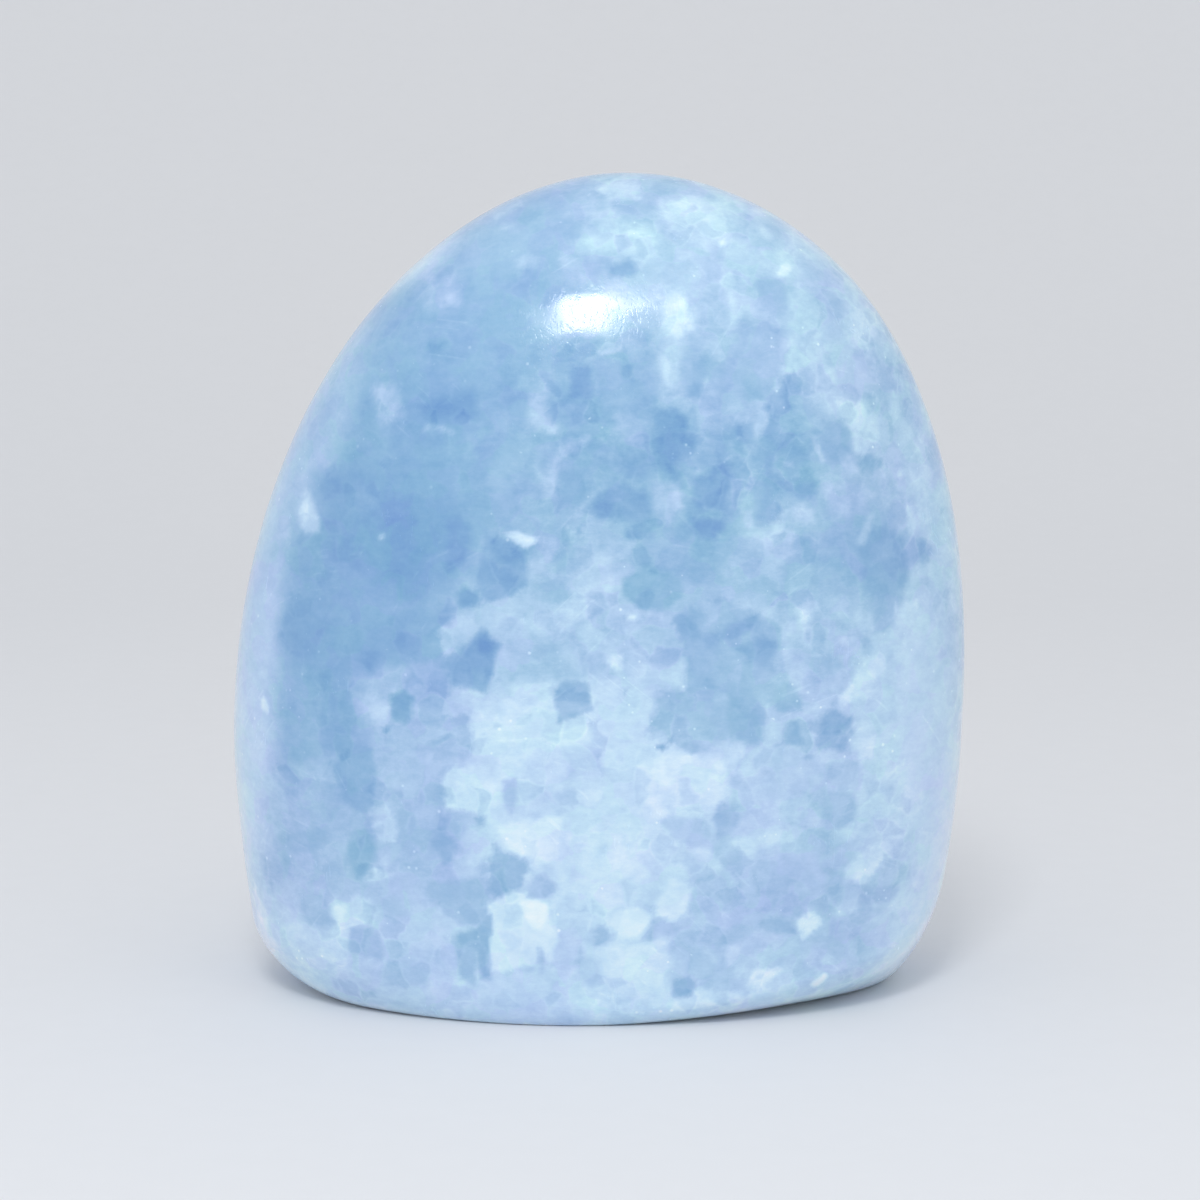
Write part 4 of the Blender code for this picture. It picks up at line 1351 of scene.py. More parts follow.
    Mark("flank pool", 0.25, 0, 0.45, (28.6, 5.8, 29.5, 7.6, 31.6, 8, 33.6, 6.8, 34, 3.3, 33.2, -0.8,
        31, -1.8, 29.3, 0.6)),
    Mark("flank pool foot", 0.36, 0, 0.5, (29.6, 0, 33.2, 0.4, 32.6, -3.2, 30.6, -3.6)),
    Mark("flank edge", 0.30, -0.3, 0.4, (34.8, 6.5, 36.8, 6, 36.8, 4.2, 35, 4.4)),
    Mark("crown blue", 0.44, 0, 0.45, (18, 43, 19.4, 42.6, 21, 41, 19.6, 40.2, 18.2, 41)),
    Mark("brow crystal", 0.24, 0, 0.36, (0.8, 37.1, 3.3, 37.7, 4.4, 36.6, 3.9, 35.5, 1.1, 35.8)),
    Mark("crown band", 0.43, 0, 0.56, (1.4, 44.2, 6, 44, 5.8, 42.6, 2.6, 42.4)),
    Mark("left pool", 0.12, 0, 0.67, (-19.8, 21.4, -17.4, 22.6, -14, 23.4, -13.4, 20.4, -16, 19.6,
        -19.4, 20)),
    Mark("left bead", 0.05, 0.2, 0.78, (-18.8, 28.4, -17.4, 28.4, -17.2, 27, -18.6, 27)),
    Mark("far left pool", 0.16, 0.1, 1.12, (-31.6, 13.6, -28, 14.6, -24, 14.8, -23.6, 12.4, -31.4, 11)),
    Mark("left low pool", 0.16, -0.2, 0.6, (-35.3, -2.5, -33.8, 0, -30.2, 0, -30, -3, -31.8, -5.4, -32, -6.8,
        -34, -6.2, -35.4, -4.6)),
    Mark("left mid pool", 0.21, 0, 0.5, (-29.5, -5.6, -28, -5.5, -27.6, -8.5, -29, -9.3, -30, -7.5)),
    Mark("left near pool", 0.17, -0.1, 0.5, (-26.6, -5.5, -24.4, -3.5, -21.8, -3.2, -21, -5, -23, -6.5,
        -24.6, -6.3, -25.4, -8.5, -26.6, -7.2)),
    Mark("sea dapple", 0.11, 0.3, 0.35, (-16.2, 0.6, -15, 1.6, -13.6, 0.8, -13.2, -0.6, -15.4, -0.7)),
    Mark("inner deep", 0.11, -0.2, 0.5, (-17, 9, -15.6, 9.2, -14.2, 8, -14.2, 6.4, -15.4, 4, -17, 3)),
    Mark("left foot pool", 0.21, 0.1, 0.4, (-34, -16, -32.4, -15.5, -30.2, -16, -30.4, -17.4, -33, -17.7,
        -34.2, -17)),
    Mark("lavender cell", 0.46, -0.4, 0.4, (20, -28, 24, -28, 24, -31.4, 20.4, -31.4)),
    Mark("east pool", 0.24, 0, 0.45, (16.8, 13, 19, 12.6, 19.6, 9, 17.4, 8)),
    Mark("column crack", 0.27, 0, 0.2, (-8.4, 16, -8, 16, -8, 12, -8.4, 12)),
)

# Mostly painted glints: small flashes of light on cleavage faces, chips and cracks, drawn into the colour;
# the milk core and the milk seam are the stone's own milky colour.
FRONT_GLINTS = (
    Mark("white wedge", 0.72, 0, 0.16, (-10.7, 7.3, -9.4, 7.5, -6.9, 6.8, -7.2, 6.1, -8.2, 5.5)),
    Mark("wedge core", 0.90, 0, 0.2, (-9.2, 7.1, -7.4, 6.8, -7.5, 6.3, -8.4, 6.1)),
    # Painted reflection: a streak of light along the left shoulder, with its brighter core.
    Mark("rim streak", 0.60, -0.1, 0.3, (-32.8, 12.1, -32.2, 12.2, -31.1, 8.5, -31.2, 7.6, -32.6, 7.3,
        -33.4, 8.6, -33.7, 9.8)),
    Mark("streak core", 0.72, -0.1, 0.25, (-33, 10.8, -32.4, 11, -32, 9.4, -32.8, 9)),
    # Painted highlight: a small flash of light on the left rim.
    Mark("rim tick", 0.85, -0.1, 0.15, (-37.6, -10.8, -37.1, -10.6, -36.7, -12.2, -37, -12.8, -37.5, -11.8)),
    Mark("rim bead", 0.50, -0.5, 0.4, (-35.8, 8.8, -34.6, 8.8, -34.6, 7, -35.6, 7)),
    Mark("mint glint", 1.02, 0.5, 0.3, (19.4, 36.4, 20.2, 37.2, 21.2, 36.8, 20.8, 36, 19.8, 35.9)),
    Mark("mint tick", 1.00, 0.4, 0.25, (13, 39.2, 13.4, 40, 14, 39.8, 13.8, 39)),
    Mark("crown streak", 0.56, 0, 0.3, (-12, 42.6, -9, 44.2, -8.7, 43.8, -11.5, 42.2)),
    Mark("crown tick", 0.56, 0, 0.3, (-11, 41.7, -9.2, 41.5, -9.2, 40.9, -11, 41.1)),
    Mark("crown chip", 0.74, 0.2, 0.3, (17.2, 41.6, 17.9, 41.4, 19, 40.3, 18.2, 40.2)),
    Mark("milk core", 0.98, 0.3, 0.2, (-9, -33.4, -7.4, -33.3, -5.9, -33.7, -5.9, -35.6, -6.6, -36.6,
        -7.4, -36.4, -8.2, -35.2)),
    Mark("milk seam", 0.48, -0.1, 0.2, (-7, -38.4, -6.3, -38.6, -5.9, -41.6, -6.7, -41.4)),
    Mark("arch line", 0.66, 0, 0.12, (-10.5, -4, -8.5, -1.9, -8.3, -2.5, -9.6, -3.8)),
    Mark("ledge spark", 0.52, 0, 0.15, (6.6, -15.2, 7.3, -15.2, 7.2, -15.8, 6.6, -15.7)),
    Mark("sliver", 0.66, 0, 0.12, (33.9, 10.6, 34.4, 10.3, 35.1, 8.8, 34.8, 6.9, 34.2, 6.8, 33.9, 8.4)),
    Mark("pool rim", 0.50, 0, 0.2, (28.2, 6, 29.2, 6.1, 30.1, 8, 30.5, 9.8, 29.9, 9.9)),
    Mark("crack spark high", 0.72, 0, 0.2, (34.4, 0.2, 35.2, 0, 35.1, -1, 34.4, -0.9)),
    Mark("crack spark mid", 0.62, 0, 0.3, (32.6, -0.4, 33.6, -0.6, 33.4, -3, 32.6, -2.8)),
    Mark("crack spark low", 0.70, 0, 0.2, (33.1, -3.9, 33.9, -4, 34, -4.9, 33.3, -4.9)),
    Mark("flank bead", 0.76, 0, 0.2, (32.9, -17.8, 33.4, -18.4, 34.3, -18.2, 33.8, -17.6)),
    Mark("edge spark", 1.00, 0, 0.12, (23.2, -42.6, 25, -41.2, 25.4, -41.8, 24.4, -42.8, 23.4, -43)),
    Mark("sea spark", 0.90, 0, 0.2, (2.9, -1.7, 4, -1.6, 4, -2.3, 3, -2.4)),
    Mark("left streak", 0.46, 0, 0.2, (-19.6, 18.6, -19.3, 19.6, -17.5, 19.3, -16.1, 18.6, -16.2, 18.1,
        -18, 18.8)),
    Mark("left spark", 0.50, 0, 0.2, (-24.5, 7.3, -23.8, 7.3, -23.8, 6.6, -24.5, 6.6)),
    Mark("east spark", 0.48, 0, 0.15, (20.3, 15.2, 21.4, 15.3, 21.4, 14.7, 20.4, 14.6)),
    Mark("east needle", 0.56, 0, 0.12, (23.3, 18, 23.9, 17.9, 25, 15.2, 24.4, 15.2)),
    Mark("flank spark", 0.66, 0, 0.2, (33, 14.5, 33.7, 14.4, 33.6, 13.7, 33, 13.7)),
    Mark("ring spark", 0.55, 0, 0.2, (-2.1, 8.4, -1.4, 8.4, -1.4, 7.7, -2.1, 7.7)),
    Mark("brow line", 0.62, 0, 0.15, (-0.4, 27.4, 2.4, 28.1, 2.5, 27.5, 0, 26.9)),
    Mark("column core", 0.66, 0, 0.3, (-5.9, 19, -4.9, 19, -4.9, 18.4, -5.8, 18.4)),
)

FRONT_MARKS = {Layer.PATCH: FRONT_PATCHES, Layer.CRYSTAL: FRONT_CRYSTALS, Layer.GLINT: FRONT_GLINTS}

def smooth_step(value: Array, low: float, high: float) -> Array:
    """Rises smoothly from 0 at low to 1 at high."""
    t = np.clip((value - low) / (high - low), 0, 1)
    return t * t * (3 - 2 * t)


def polygon_field(points: Array, corners: Array) -> Array:
    """The distance from points to a polygon's outline, positive inside it.

    Args:
        points: places on the plane.
        corners: the polygon's corners, in order.

    Returns:
        One signed distance for each point.
    """
    nearest = np.full(len(points), np.inf)
    inside = np.zeros(len(points), bool)
    for start, end in zip(corners, np.roll(corners, -1, 0)):
        edge, offset = end - start, points - start
        share = np.clip(offset @ edge / (edge @ edge), 0, 1)
        nearest = np.minimum(nearest, np.linalg.norm(offset - share[:, None] * edge, axis=1))
        crosses = (start[1] > points[:, 1]) != (end[1] > points[:, 1])
        run = edge[0] * offset[:, 1] / (edge[1] if edge[1] else TINY)
        inside ^= crosses & (offset[:, 0] < run)
    return np.where(inside, nearest, -nearest)


def read_rows(data: Outputs, name: str) -> Array:
    """Reads three numbers from each element of a mesh's data.

    Args:
        data: the elements, such as the vertices.
        name: the property that is read.

    Returns:
        One row for each element.
    """
    flat = np.zeros(len(data) * 3, np.float32)
    data.foreach_get(name, flat)
    return flat.reshape(-1, 3)


def move_points(mesh: Mesh, points: Array) -> None:
    """Moves a mesh's vertices, in metres."""
    mesh.vertices.foreach_set("co", points.astype(np.float32).ravel())
    mesh.update()


def link(name: str, data: Any) -> Object:
    """Adds a new object to the scene.

    Args:
        name: its name.
        data: its mesh, camera or light.

    Returns:
        The object.
    """
    added = bpy.data.objects.new(name, data)
    bpy.context.scene.collection.objects.link(added)
    return added


@dataclass(frozen=True)
class Viewpoint:
    """Where the stone is seen from, in mm and degrees.

    Attributes:
        distance: from the camera to the point that it looks at.
        elevation: how far above the horizon the camera stands.
        aim: the point that it looks at.
        field: how much the frame takes in at that point, edge to edge.
    """

    distance: float = 360.0
    elevation: float = 8.0
    aim: Triple = (0.15, 0.0, 43.05)
    field: float = 132.9
    sensor: float = 36.0
    clip: Range = (0.01, 20.0)

    def build(self) -> Object:
        """Adds the camera and makes it the scene's.

        Returns:
            The camera.
        """
        data = bpy.data.cameras.new("studio_camera")
        data.sensor_width = self.sensor
        data.lens = self.sensor * self.distance / self.field
        data.clip_start, data.clip_end = self.clip
        camera = link("studio_camera", data)
        e = math.radians(self.elevation)
        back = Vector((0, -math.cos(e), math.sin(e)))
        camera.location = (Vector(self.aim) + back * self.distance) * MM
        camera.rotation_euler = (-back).to_track_quat("-Z", "Y").to_euler()
        bpy.context.scene.camera = camera
        log.info("%s at %s", camera.name, tuple(round(x, 4) for x in camera.location))
        return camera


class Canvas:
    """Keeps the drawn ground and marks for every vertex of the stone.

    Attributes:
        plain_ground: the ground where no zone lies.
        plain_layer: a layer where no mark lies, with its field in mm.
        zone_edge: where a zone begins to fade and where it ends, in its own half widths and heights.
        zone_sight: the facings between which zones come into sight.
        margin: how far round a mark its field is worked out, in mm.
        limit_slope: how steeply a mark's field falls where a drawing ends, in mm for a whole facing.
    """

    plain_ground = {"tone": 0.56, "hue": 0.0, "mosaic": 0.7, "veil": 0.45}
    plain_layer = {"field": -6.0, "tone": 0.5, "hue": 0.0, "softness": 0.4}
    zone_edge: Range = (0.45, 1.35)
    zone_sight: Range = (-0.25, 0.25)
    margin = 4.0
    limit_slope = 12.0

    def __init__(self, mesh: Mesh, view: Viewpoint) -> None:
        """Takes the stone.

        Args:
            mesh: its mesh.
            view: where its front is seen from.
        """
        self.mesh, self.view = mesh, view
        self.points = read_rows(mesh.vertices, "co") / MM
        self.normals = read_rows(mesh.vertex_normals, "vector")
        self.ground = self.sheet(self.plain_ground)
        self.layers = {layer: self.sheet(self.plain_layer) for layer in Layer}

    def sheet(self, plain: dict[str, float]) -> dict[str, Array]:
        """The same plain values for every vertex."""
        return {name: np.full(len(self.points), value) for name, value in plain.items()}

    def sight(self, side: Side) -> tuple[Array, Array]:
        """Sees the stone from one side.

        Args:
            side: the side.

        Returns:
            Each vertex's place across and up the side's plane, in mm, and how squarely it faces the eye.
        """
        a, e = (math.radians(angle) for angle in side.value)
        back = np.array((math.sin(a) * math.cos(e), -math.cos(a) * math.cos(e), math.sin(e)))
        right = np.array((math.cos(a), math.sin(a), 0.0))
        up = np.cross(back, right)
        offset = self.points - np.array(self.view.aim)
        depth = self.view.distance - offset @ back
        place = np.stack((offset @ right, offset @ up), 1) * (self.view.distance / depth)[:, None]
        ray = back * self.view.distance - offset
        facing = np.einsum("ij,ij->i", self.normals, ray / np.linalg.norm(ray, axis=1)[:, None])
        return place, facing

    def lay(self, side: Side, zones: tuple[Zone, ...]) -> None:
        """Lays soft zones on a side.

        Args:
            side: the side.
            zones: the zones, each over the ones before.
        """
        place, facing = self.sight(side)
        seen = smooth_step(facing, *self.zone_sight)
        for zone in zones:
            turn = math.radians(zone.turn)
            offset = place - zone.centre
            along = offset[:, 0] * math.cos(turn) + offset[:, 1] * math.sin(turn)
            aside = offset[:, 1] * math.cos(turn) - offset[:, 0] * math.sin(turn)
            reach = np.hypot(along / zone.spread[0], aside / zone.spread[1])
            share = (1 - smooth_step(reach, *self.zone_edge)) * seen
            for name, values in self.ground.items():
                values += (getattr(zone, name) - values) * share

    # Freeform uses lift to paint light into the colour: a sheen at the rim and lighter tone at the foot.
    def lift(self, share: Array, tone: float, hue: float) -> None:
        """Adds to the stone's tone and hue.

        Args:
            share: where, and how fully, from 0 to 1.
            tone: how much it adds to the tone.
            hue: how much it adds to the hue.
        """
        for values in (self.ground, *self.layers.values()):
            values["tone"] += share * tone
            values["hue"] += share * hue

    def clear(self, seen: Array) -> None:
        """Takes every mark away where the mask says so."""
        for values in self.layers.values():
            values["field"] = np.where(seen, self.plain_layer["field"], values["field"])

    def draw(self, side: Side, marks: Marks, limit: float) -> None:
        """Draws marks on a side.

        Args:
            side: the side.
            marks: the marks of each layer, each mark over the ones before.
            limit: the facing where the drawing ends.
        """
        place, facing = self.sight(side)
        held = (facing - limit) * self.limit_slope
        for layer, mark in ((layer, mark) for layer, drawn in marks.items() for mark in drawn):
            corners = np.array(mark.outline).reshape(-1, 2)
            low, high = corners.min(0) - self.margin, corners.max(0) + self.margin
            near = np.all((place > low) & (place < high), axis=1) & (held > self.plain_layer["field"])
            where = np.nonzero(near)[0]
            inside = np.minimum(polygon_field(place[where], corners), held[where])
            sheet = self.layers[layer]
            under = sheet["field"][where]
            share = np.where(under > 0, smooth_step(inside, -mark.softness, mark.softness), inside > under)
            for name in ("tone", "hue", "softness"):
                sheet[name][where] += (getattr(mark, name) - sheet[name][where]) * share
            sheet["field"][where] = np.maximum(inside, under)

    def write(self, name: str, *columns: Array) -> None:
        """Keeps an attribute for each vertex.

        Args:
            name: its name.
            columns: one number for each vertex, or the three of a vector.
        """
        kind, slot = ("FLOAT_VECTOR", "vector") if len(columns) > 1 else ("FLOAT", "value")
        attribute = self.mesh.attributes.new(name, kind, "POINT")
        attribute.data.foreach_set(slot, np.stack(columns, 1).astype(np.float32).ravel())

    def store(self) -> None:
        """Writes the drawing onto the mesh as attributes."""
        tone, hue, mosaic, veil = self.ground.values()
        self.write("ground", tone, hue, mosaic)
        self.write("veil", veil)
        for layer, sheet in self.layers.items():
            field, tone, hue, softness = sheet.values()
            self.write(layer.value, field, tone, hue)
            self.write(f"{layer.value}_softness", softness)


@dataclass(frozen=True)
class ScatteredCrystals:
    """Crystals and pale patches strewn over a side that has no drawing of its own.

    Attributes:
        side: the side.
        spread: half the width and height of the field that they lie in, in mm.
    """

    side: Side
    count: int
    spread: Range
    seed: int
    radius: Range = (1.3, 3.4)
    corners: tuple[int, int] = (5, 8)
    stretch: Range = (0.6, 1.0)
    corner_reach: Range = (0.65, 1.25)
    tones: tuple[tuple[Layer, Range], ...] = ((Layer.PATCH, (0.68, 0.95)), (Layer.CRYSTAL, (0.22, 0.46)))
    hue: float = 0.7
    softness: Range = (0.2, 0.7)

    def marks(self) -> Marks:
        """Strews the marks, the same each time.

        Returns:
            The marks of each layer.
        """
        rng = np.random.default_rng(self.seed)
        found = {layer: [] for layer, _tones in self.tones}
        for number in range(self.count):
            centre = rng.uniform(-1, 1, 2) * self.spread
            radius = rng.uniform(*self.radius)
            corner_count = int(rng.integers(*self.corners))
            angles = np.sort(rng.uniform(0, 2 * math.pi, corner_count))
            stretch = rng.uniform(*self.stretch)
            reach = radius * rng.uniform(*self.corner_reach, corner_count)
            corners = np.stack((np.cos(angles) * reach, np.sin(angles) * reach * stretch), 1) + centre
            layer, tones = self.tones[0 if rng.random() < 0.5 else 1]
            tone = rng.uniform(*tones)
            hue, softness = rng.uniform(-self.hue, self.hue), rng.uniform(*self.softness)
            found[layer].append(Mark(f"strewn {number}", tone, hue, softness, tuple(corners.ravel())))
        return found


STREWN = (
    ScatteredCrystals(Side.BACK, 60, (38, 44), 11),
    ScatteredCrystals(Side.LEFT, 22, (18, 40), 12),
    ScatteredCrystals(Side.RIGHT, 22, (18, 40), 13),
    ScatteredCrystals(Side.CROWN, 16, (30, 16), 14),
)


@dataclass
class DividedBlock:
    """The plain block that the stone is shaped from: a cube from -1 to 1, divided evenly.

    Attributes:
        width_quads: quads along its front and back.
        depth_quads: quads along its two narrow sides.
        flank_rows: rows of quads up its sides.
    """

    width_quads: int = 150
    depth_quads: int = 46
    flank_rows: int = 214

    def build(self, material: Material) -> Mesh:
        """Makes the block.

        Args:
            material: the material of all its faces.

        Returns:
            Its plain mesh.
        """
        growth = Growth("divided_block", {**Growth.sizes(self), "Material": material})
        w, given = growth.wires, growth.given
        counts = {"X": "Width Quads", "Y": "Depth Quads", "Z": "Flank Rows"}
        vertices = {f"Vertices {axis}": w.math("ADD", given[label], 1) for axis, label in counts.items()}
        cube = w.add("GeometryNodeMeshCube", {"Size": (2, 2, 2), **vertices}).outputs["Mesh"]
        real = w.add("GeometryNodeRealizeInstances", {0: cube}).outputs[0]
        w.add("NodeGroupOutput", {0: w.paint(real, given["Material"])})
        holder = bpy.data.objects.new("block_holder", bpy.data.meshes.new("block_holder"))
        return growth.run(holder, "calcite_block")


@dataclass
class HandGrinding:
    """What hand grinding does to the form and lays bare in it: waves, pits, nicks, coarse grains and veils.

    Attributes:
        veil_size: how far apart the milky seams are, in metres.
        cloud_size: how large the soft clouds in the stone are, in metres.
        wave_size: how far apart the broad waves are, in metres.
        pit_density: pits on a square metre.
        pit_radius: the largest pit's radius, in metres.
        grip: the height over the base below which nothing is cut, in metres.
    """

    grain_size: float = 0.0058
    veil_size: float = 0.0055
    cloud_size: float = 0.0085
    wave_size: float = 0.016
    wave_depth: float = 0.00022
    pit_density: float = 9000.0
    pit_radius: float = 0.0011
    pit_depth: float = 0.00010
    grip: float = 0.004
    seed: int = 23
    cloud_reach: ClassVar[float] = 0.10
    wave_noise: ClassVar[Range] = (2.0, 0.4)
    pit_gap: ClassVar[float] = 2.2
    pit_rarity: ClassVar[float] = 3.0
    pit_range: ClassVar[Range] = (0.35, 1.0)
    nick_range: ClassVar[Range] = (0.6, 1.0)
    base_facing: ClassVar[float] = -0.999
    base_height: ClassVar[float] = 1e-5

    def grown(self, growth: Growth, place: Socket, effects: CalciteEffects) -> dict[str, Socket]:
        """The fields that the grain leaves on a surface.

        Args:
            growth: the tree.
            place: where each vertex is.
            effects: what makes the grain's node groups.

        Returns:
            The fields, each under the name of the attribute that keeps it.
        """
        w, given = growth.wires, growth.given
        drift = w.place(effects.drift(), vector=place)["Drift"]
        grain = w.place(effects.grain(GEOMETRY), vector=place, drift=drift, size=given["Grain Size"])
        veil = w.place(effects.veil(), vector=place, drift=drift, size=given["Veil Size"])["Mask"]
        cloud = w.swing(place, given["Cloud Size"], self.cloud_reach)
        told = w.add("ShaderNodeCombineXYZ", {0: grain["Tone"], 1: grain["Hue"], 2: cloud}).outputs[0]
        return {"grain": told, "drift": drift, "veil_mask": veil}

    def pits(self, growth: Growth, place: Socket) -> tuple[Socket, Socket]:
        """The pits that the grinding left.

        Args:
            growth: the tree.
            place: where each vertex is.

        Returns:
            How deep in a pit each vertex lies, and how large that pit is, both from 0 to 1.
        """
        w, given = growth.wires, growth.given
        inputs = {
            "Mesh": given["Geometry"],
            "Distance Min": w.math("MULTIPLY", given["Pit Radius"], self.pit_gap),
            "Density Max": given["Pit Density"],
            "Seed": given["Seed"],
        }
        spread = w.add("GeometryNodeDistributePointsOnFaces", inputs, distribute_method="POISSON")
        spots = spread.outputs["Points"]
        luck = w.add("FunctionNodeRandomValue", {"Seed": given["Seed"]}, data_type="FLOAT").outputs[1]
        share = w.spread(w.math("POWER", luck, self.pit_rarity), *self.pit_range)
        size = w.math("MULTIPLY", share, given["Pit Radius"])
        nearest = w.add("GeometryNodeSampleNearest", {"Geometry": spots}, domain="POINT").outputs[0]
        reach = w.sample(spots, nearest, size, "FLOAT")
        distance = w.vector("DISTANCE", place, w.sample(spots, nearest, place, "FLOAT_VECTOR"))
        away = w.math("DIVIDE", distance, w.math("MAXIMUM", reach, HAIR))
        bowl = w.math("SUBTRACT", 1.0, w.fit(away, 0.0, 1.0))
        return bowl, w.math("DIVIDE", reach, given["Pit Radius"])

    def grind(
        self,
        stone: Object,
        effects: CalciteEffects,
        skin: Material,
        base: Material,
    ) -> Mesh:
        """Grinds the stone, keeps its grain and gives its faces their materials.

        Args:
            stone: the shaped stone.
            effects: what makes the grain's node groups.
            skin: the polished finish.
            base: the honed finish.

        Returns:
            The ground mesh, with no modifier left.
        """
        growth = Growth("hand_grinding", {**Growth.sizes(self), "Skin": skin, "Base": base})
        w, given = growth.wires, growth.given
        place = w.add("GeometryNodeInputPosition").outputs[0]
        normal = w.add("GeometryNodeInputNormal").outputs[0]
        height = w.parts(place)[2]
        grip = w.fit(height, 0.0, given["Grip"])
        waves = w.noise(place, given["Wave Size"], *self.wave_noise).outputs[0]
        bowl, share = self.pits(growth, place)
        pits = w.math("MULTIPLY", w.math("MULTIPLY", bowl, share), given["Pit Depth"])
        deep = w.math("MULTIPLY", w.total(pits, (waves, given["Wave Depth"])), grip)
        offset = w.vector("SCALE", normal, Scale=w.math("MULTIPLY", deep, -1.0))
        moved = w.add("GeometryNodeSetPosition", {"Geometry": given["Geometry"], "Offset": offset}).outputs[0]
        nick = w.math("MULTIPLY", bowl, w.fit(share, *self.nick_range))
        kept = w.store(moved, "nick", w.math("MULTIPLY", nick, grip), "FLOAT")
        for name, value in self.grown(growth, place, effects).items():
            kept = w.store(kept, name, value, "FLOAT" if name == "veil_mask" else "FLOAT_VECTOR")
        real = w.add("GeometryNodeRealizeInstances", {0: kept}).outputs[0]
        under = w.math("LESS_THAN", w.parts(normal)[2], self.base_facing)
        low = w.math("LESS_THAN", height, self.base_height)
        dressed = w.paint(w.paint(real, given["Skin"]), given["Base"], w.math("MULTIPLY", under, low))
        w.add("NodeGroupOutput", {0: dressed})
        return growth.run(stone, "polished_stone")


@dataclass
class Freeform:
    """The stone itself: shaped, drawn on, ground and polished.

    Attributes:
        strewn_limit: the facing where strewn crystals end.
        front_clearing: the facing from which on the front is free of them.
        front_limit: the facing where the front's drawing ends.
        rim: the facings between which the painted light at the rim, a pale lavender sheen, fades out.
        rim_painted_light: how much that painted sheen adds to tone and hue.
        foot: the heights on the front's drawing plane between which the painted foot light fades out, in mm.
        foot_painted_light: how much that painted light adds to tone and hue.
    """

    form: StoneForm
    block: DividedBlock
    grinding: HandGrinding
    strewn_limit: float = 0.45
    front_clearing: float = -0.05
    front_limit: float = -0.1
    rim: Range = (0.05, 0.6)
    rim_painted_light: Range = (0.17, -0.1)
    foot: Range = (-24, 4)
    foot_painted_light: Range = (0.085, -0.08)

    def shaped(self, material: Material) -> Mesh:
        """Carries the block onto the stone's form.

        Args:
            material: the material of its faces.

        Returns:
            The stone's plain mesh.
        """
        mesh = self.block.build(material)
        move_points(mesh, self.form.shape(read_rows(mesh.vertices, "co").astype(float)) * MM)
        return mesh

    def draw(self, mesh: Mesh, view: Viewpoint) -> None:
        """Draws the stone's zones and crystals onto its mesh.

        Args:
            mesh: the shaped mesh.
            view: where the stone's front is seen from.
        """
        canvas = Canvas(mesh, view)
        canvas.lay(Side.BACK, BACK_ZONES)
        canvas.lay(Side.FRONT, FRONT_ZONES)
        for strewn in STREWN:
            canvas.draw(strewn.side, strewn.marks(), self.strewn_limit)
        place, facing = canvas.sight(Side.FRONT)
        canvas.clear(facing > self.front_clearing)
        canvas.draw(Side.FRONT, FRONT_MARKS, self.front_limit)
        # Painted light: a pale lavender sheen at the rim, where the stone turns away from the eye.
        canvas.lift(1 - smooth_step(np.abs(facing), *self.rim), *self.rim_painted_light)
        # Painted light: the front is lighter towards its foot.
        canvas.lift(1 - smooth_step(place[:, 1], *self.foot), *self.foot_painted_light)
        canvas.store()

    def seat(self, mesh: Mesh) -> None:
        """Trims the fine mesh by a few hundredths of a millimetre, so that it just fills the solid's box.

        Args:
            mesh: the ground mesh.
        """
        low, high = (np.array(corner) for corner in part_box(CAD_NODE))
        points = read_rows(mesh.vertices, "co").astype(float)
        span = points.max(0) - points.min(0)
        move_points(mesh, (points - points.min(0)) / span * (high - low) + low)

    def build(self, view: Viewpoint) -> Object:
        """Builds the whole stone and ties it to the frame.

        Args:
            view: where the stone's front is seen from.

        Returns:
            The finished piece.
        """
        makers = CalciteEffects()
        names = ("grain", "steps", "outline", "striae", "specks", "tint", "polish")
        effects = {name: getattr(makers, name)() for name in names}
        skin, base = PolishedSkin(effects).build(), HonedBase(effects).build()
        mesh = self.shaped(skin)
        self.draw(mesh, view)
        ground = self.grinding.grind(bpy.data.objects.new("ground_stone", mesh), makers, skin, base)
        self.seat(ground)
        ground.shade_smooth()
        stone = link("blue_calcite_freeform", ground)
        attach(stone, "root")
        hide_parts(CAD_NODE)
        log.info("%s: %d faces", stone.name, len(ground.polygons))
        return stone


@dataclass(frozen=True)
class SoftBox:
    """A soft box, placed so that the polish mirrors it at a given point.

    Attributes:
        glint: where its highlight lies, in metres.
    """

    name: str
    glint: Triple
    size: Range
    watts: float


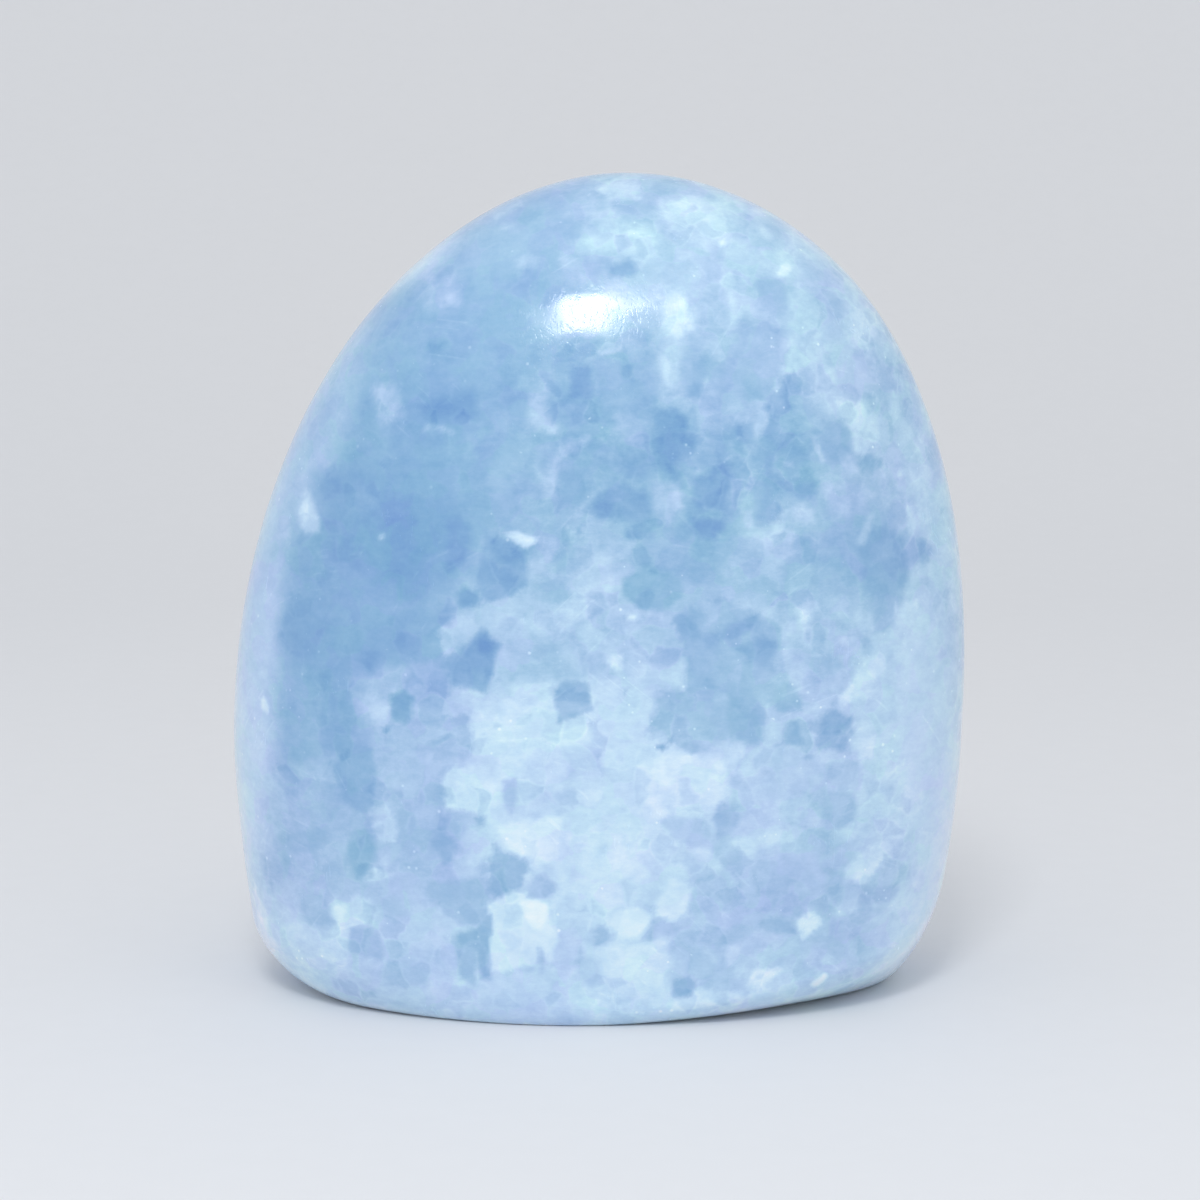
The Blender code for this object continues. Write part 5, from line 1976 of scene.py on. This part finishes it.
@dataclass
class Studio:
    """A pale seamless floor and soft studio light, in metres.

    Attributes:
        fibre_shade: the darkest fibre, as a share of the floor's colour.
        sweep_radius: the radius of the bend between floor and wall.
        box_distance: how far from the stone the soft boxes stand.
    """

    floor_colour: Triple = (0.80, 0.81, 0.835)
    fibre_size: float = 0.004
    fibre_shade: float = 0.985
    paper_roughness: float = 0.85
    paper_gloss: float = 0.2
    half_width: float = 3.0
    front: float = -3.0
    back: float = 1.0
    wall_height: float = 2.6
    sweep_radius: float = 0.7
    bend_steps: int = 24
    dome_colour: Triple = (0.97, 0.985, 1.0)
    dome_strength: float = 0.832
    boxes: tuple[SoftBox, ...] = (
        SoftBox("key_box", (-0.0018, -0.030, 0.0766), (0.120, 0.150), 1.00),
        SoftBox("key_strip", (0.0022, -0.030, 0.0774), (0.075, 0.045), 0.13),
    )
    box_distance: float = 0.6

    def floor(self) -> None:
        """Lays a paper sweep: floor, bend and wall in one sheet."""
        profile = [(self.front, 0.0)]
        for step in range(self.bend_steps + 1):
            turn = step / self.bend_steps * math.pi / 2
            run = self.back - self.sweep_radius + self.sweep_radius * math.sin(turn)
            profile.append((run, self.sweep_radius * (1 - math.cos(turn))))
        profile.append((self.back, self.wall_height))
        vertices = [(x, y, z) for y, z in profile for x in (-self.half_width, self.half_width)]
        faces = [(k, k + 1, k + 3, k + 2) for k in range(0, len(vertices) - 2, 2)]
        mesh = bpy.data.meshes.new("studio_sweep")
        mesh.from_pydata(vertices, [], faces)
        mesh.shade_smooth()
        mesh.materials.append(self.paper())
        sweep = link("studio_sweep", mesh)

    def paper(self) -> Material:
        """Makes the matt pale paper.

        Returns:
            Its material.
        """
        material, wires, place = open_material("studio_paper")
        fibre = wires.noise(place, self.fibre_size, 1.0).outputs[0]
        low = tuple(channel * self.fibre_shade for channel in self.floor_colour)
        colour = wires.tint(fibre, (*low, 1.0), (*self.floor_colour, 1.0))
        wires.dress(Base_Color=colour, Roughness=self.paper_roughness, Specular_IOR_Level=self.paper_gloss)
        return material

    def dome(self) -> None:
        """Lights the room evenly from all round."""
        world = bpy.data.worlds.new("studio_dome")
        world.use_nodes = True
        background = world.node_tree.nodes["Background"]
        background.inputs["Color"].default_value = (*self.dome_colour, 1.0)
        background.inputs["Strength"].default_value = self.dome_strength
        bpy.context.scene.world = world

    def light(self, box: SoftBox, stone: Object, eye: Vector) -> None:
        """Stands a soft box where the eye sees it mirrored in the stone.

        Args:
            box: the soft box.
            stone: the stone.
            eye: where the camera is.
        """
        _hit, point, normal, _face = stone.ray_cast(eye, (Vector(box.glint) - eye).normalized())
        view = (eye - point).normalized()
        way = 2 * normal.dot(view) * normal - view
        data = bpy.data.lights.new(box.name, "AREA")
        data.shape = "RECTANGLE"
        data.size, data.size_y = box.size
        data.energy = box.watts
        lamp = link(box.name, data)
        lamp.location = point + way * self.box_distance
        lamp.rotation_euler = (point - lamp.location).to_track_quat("-Z", "Y").to_euler()
        log.info("%s towards %s", box.name, tuple(round(x, 3) for x in way))

    def build(self, stone: Object, camera: Object) -> None:
        """Builds the sweep, the dome and the lights.

        Args:
            stone: the stone, whose crown mirrors the key light.
            camera: the camera that sees the highlight.
        """
        self.floor()
        self.dome()
        for box in self.boxes:
            self.light(box, stone, camera.location)


def main() -> None:
    """Builds the camera, the stone and the studio, in that order."""
    logging.basicConfig(level=logging.INFO, format="%(name)s: %(message)s")
    scene = bpy.context.scene
    scene.view_settings.view_transform = "Standard"
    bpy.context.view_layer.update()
    view = Viewpoint()
    camera = view.build()
    stone = Freeform(StoneForm(), DividedBlock(), HandGrinding()).build(view)
    bpy.context.view_layer.update()
    Studio().build(stone, camera)


if __name__ == "__main__":
    main()
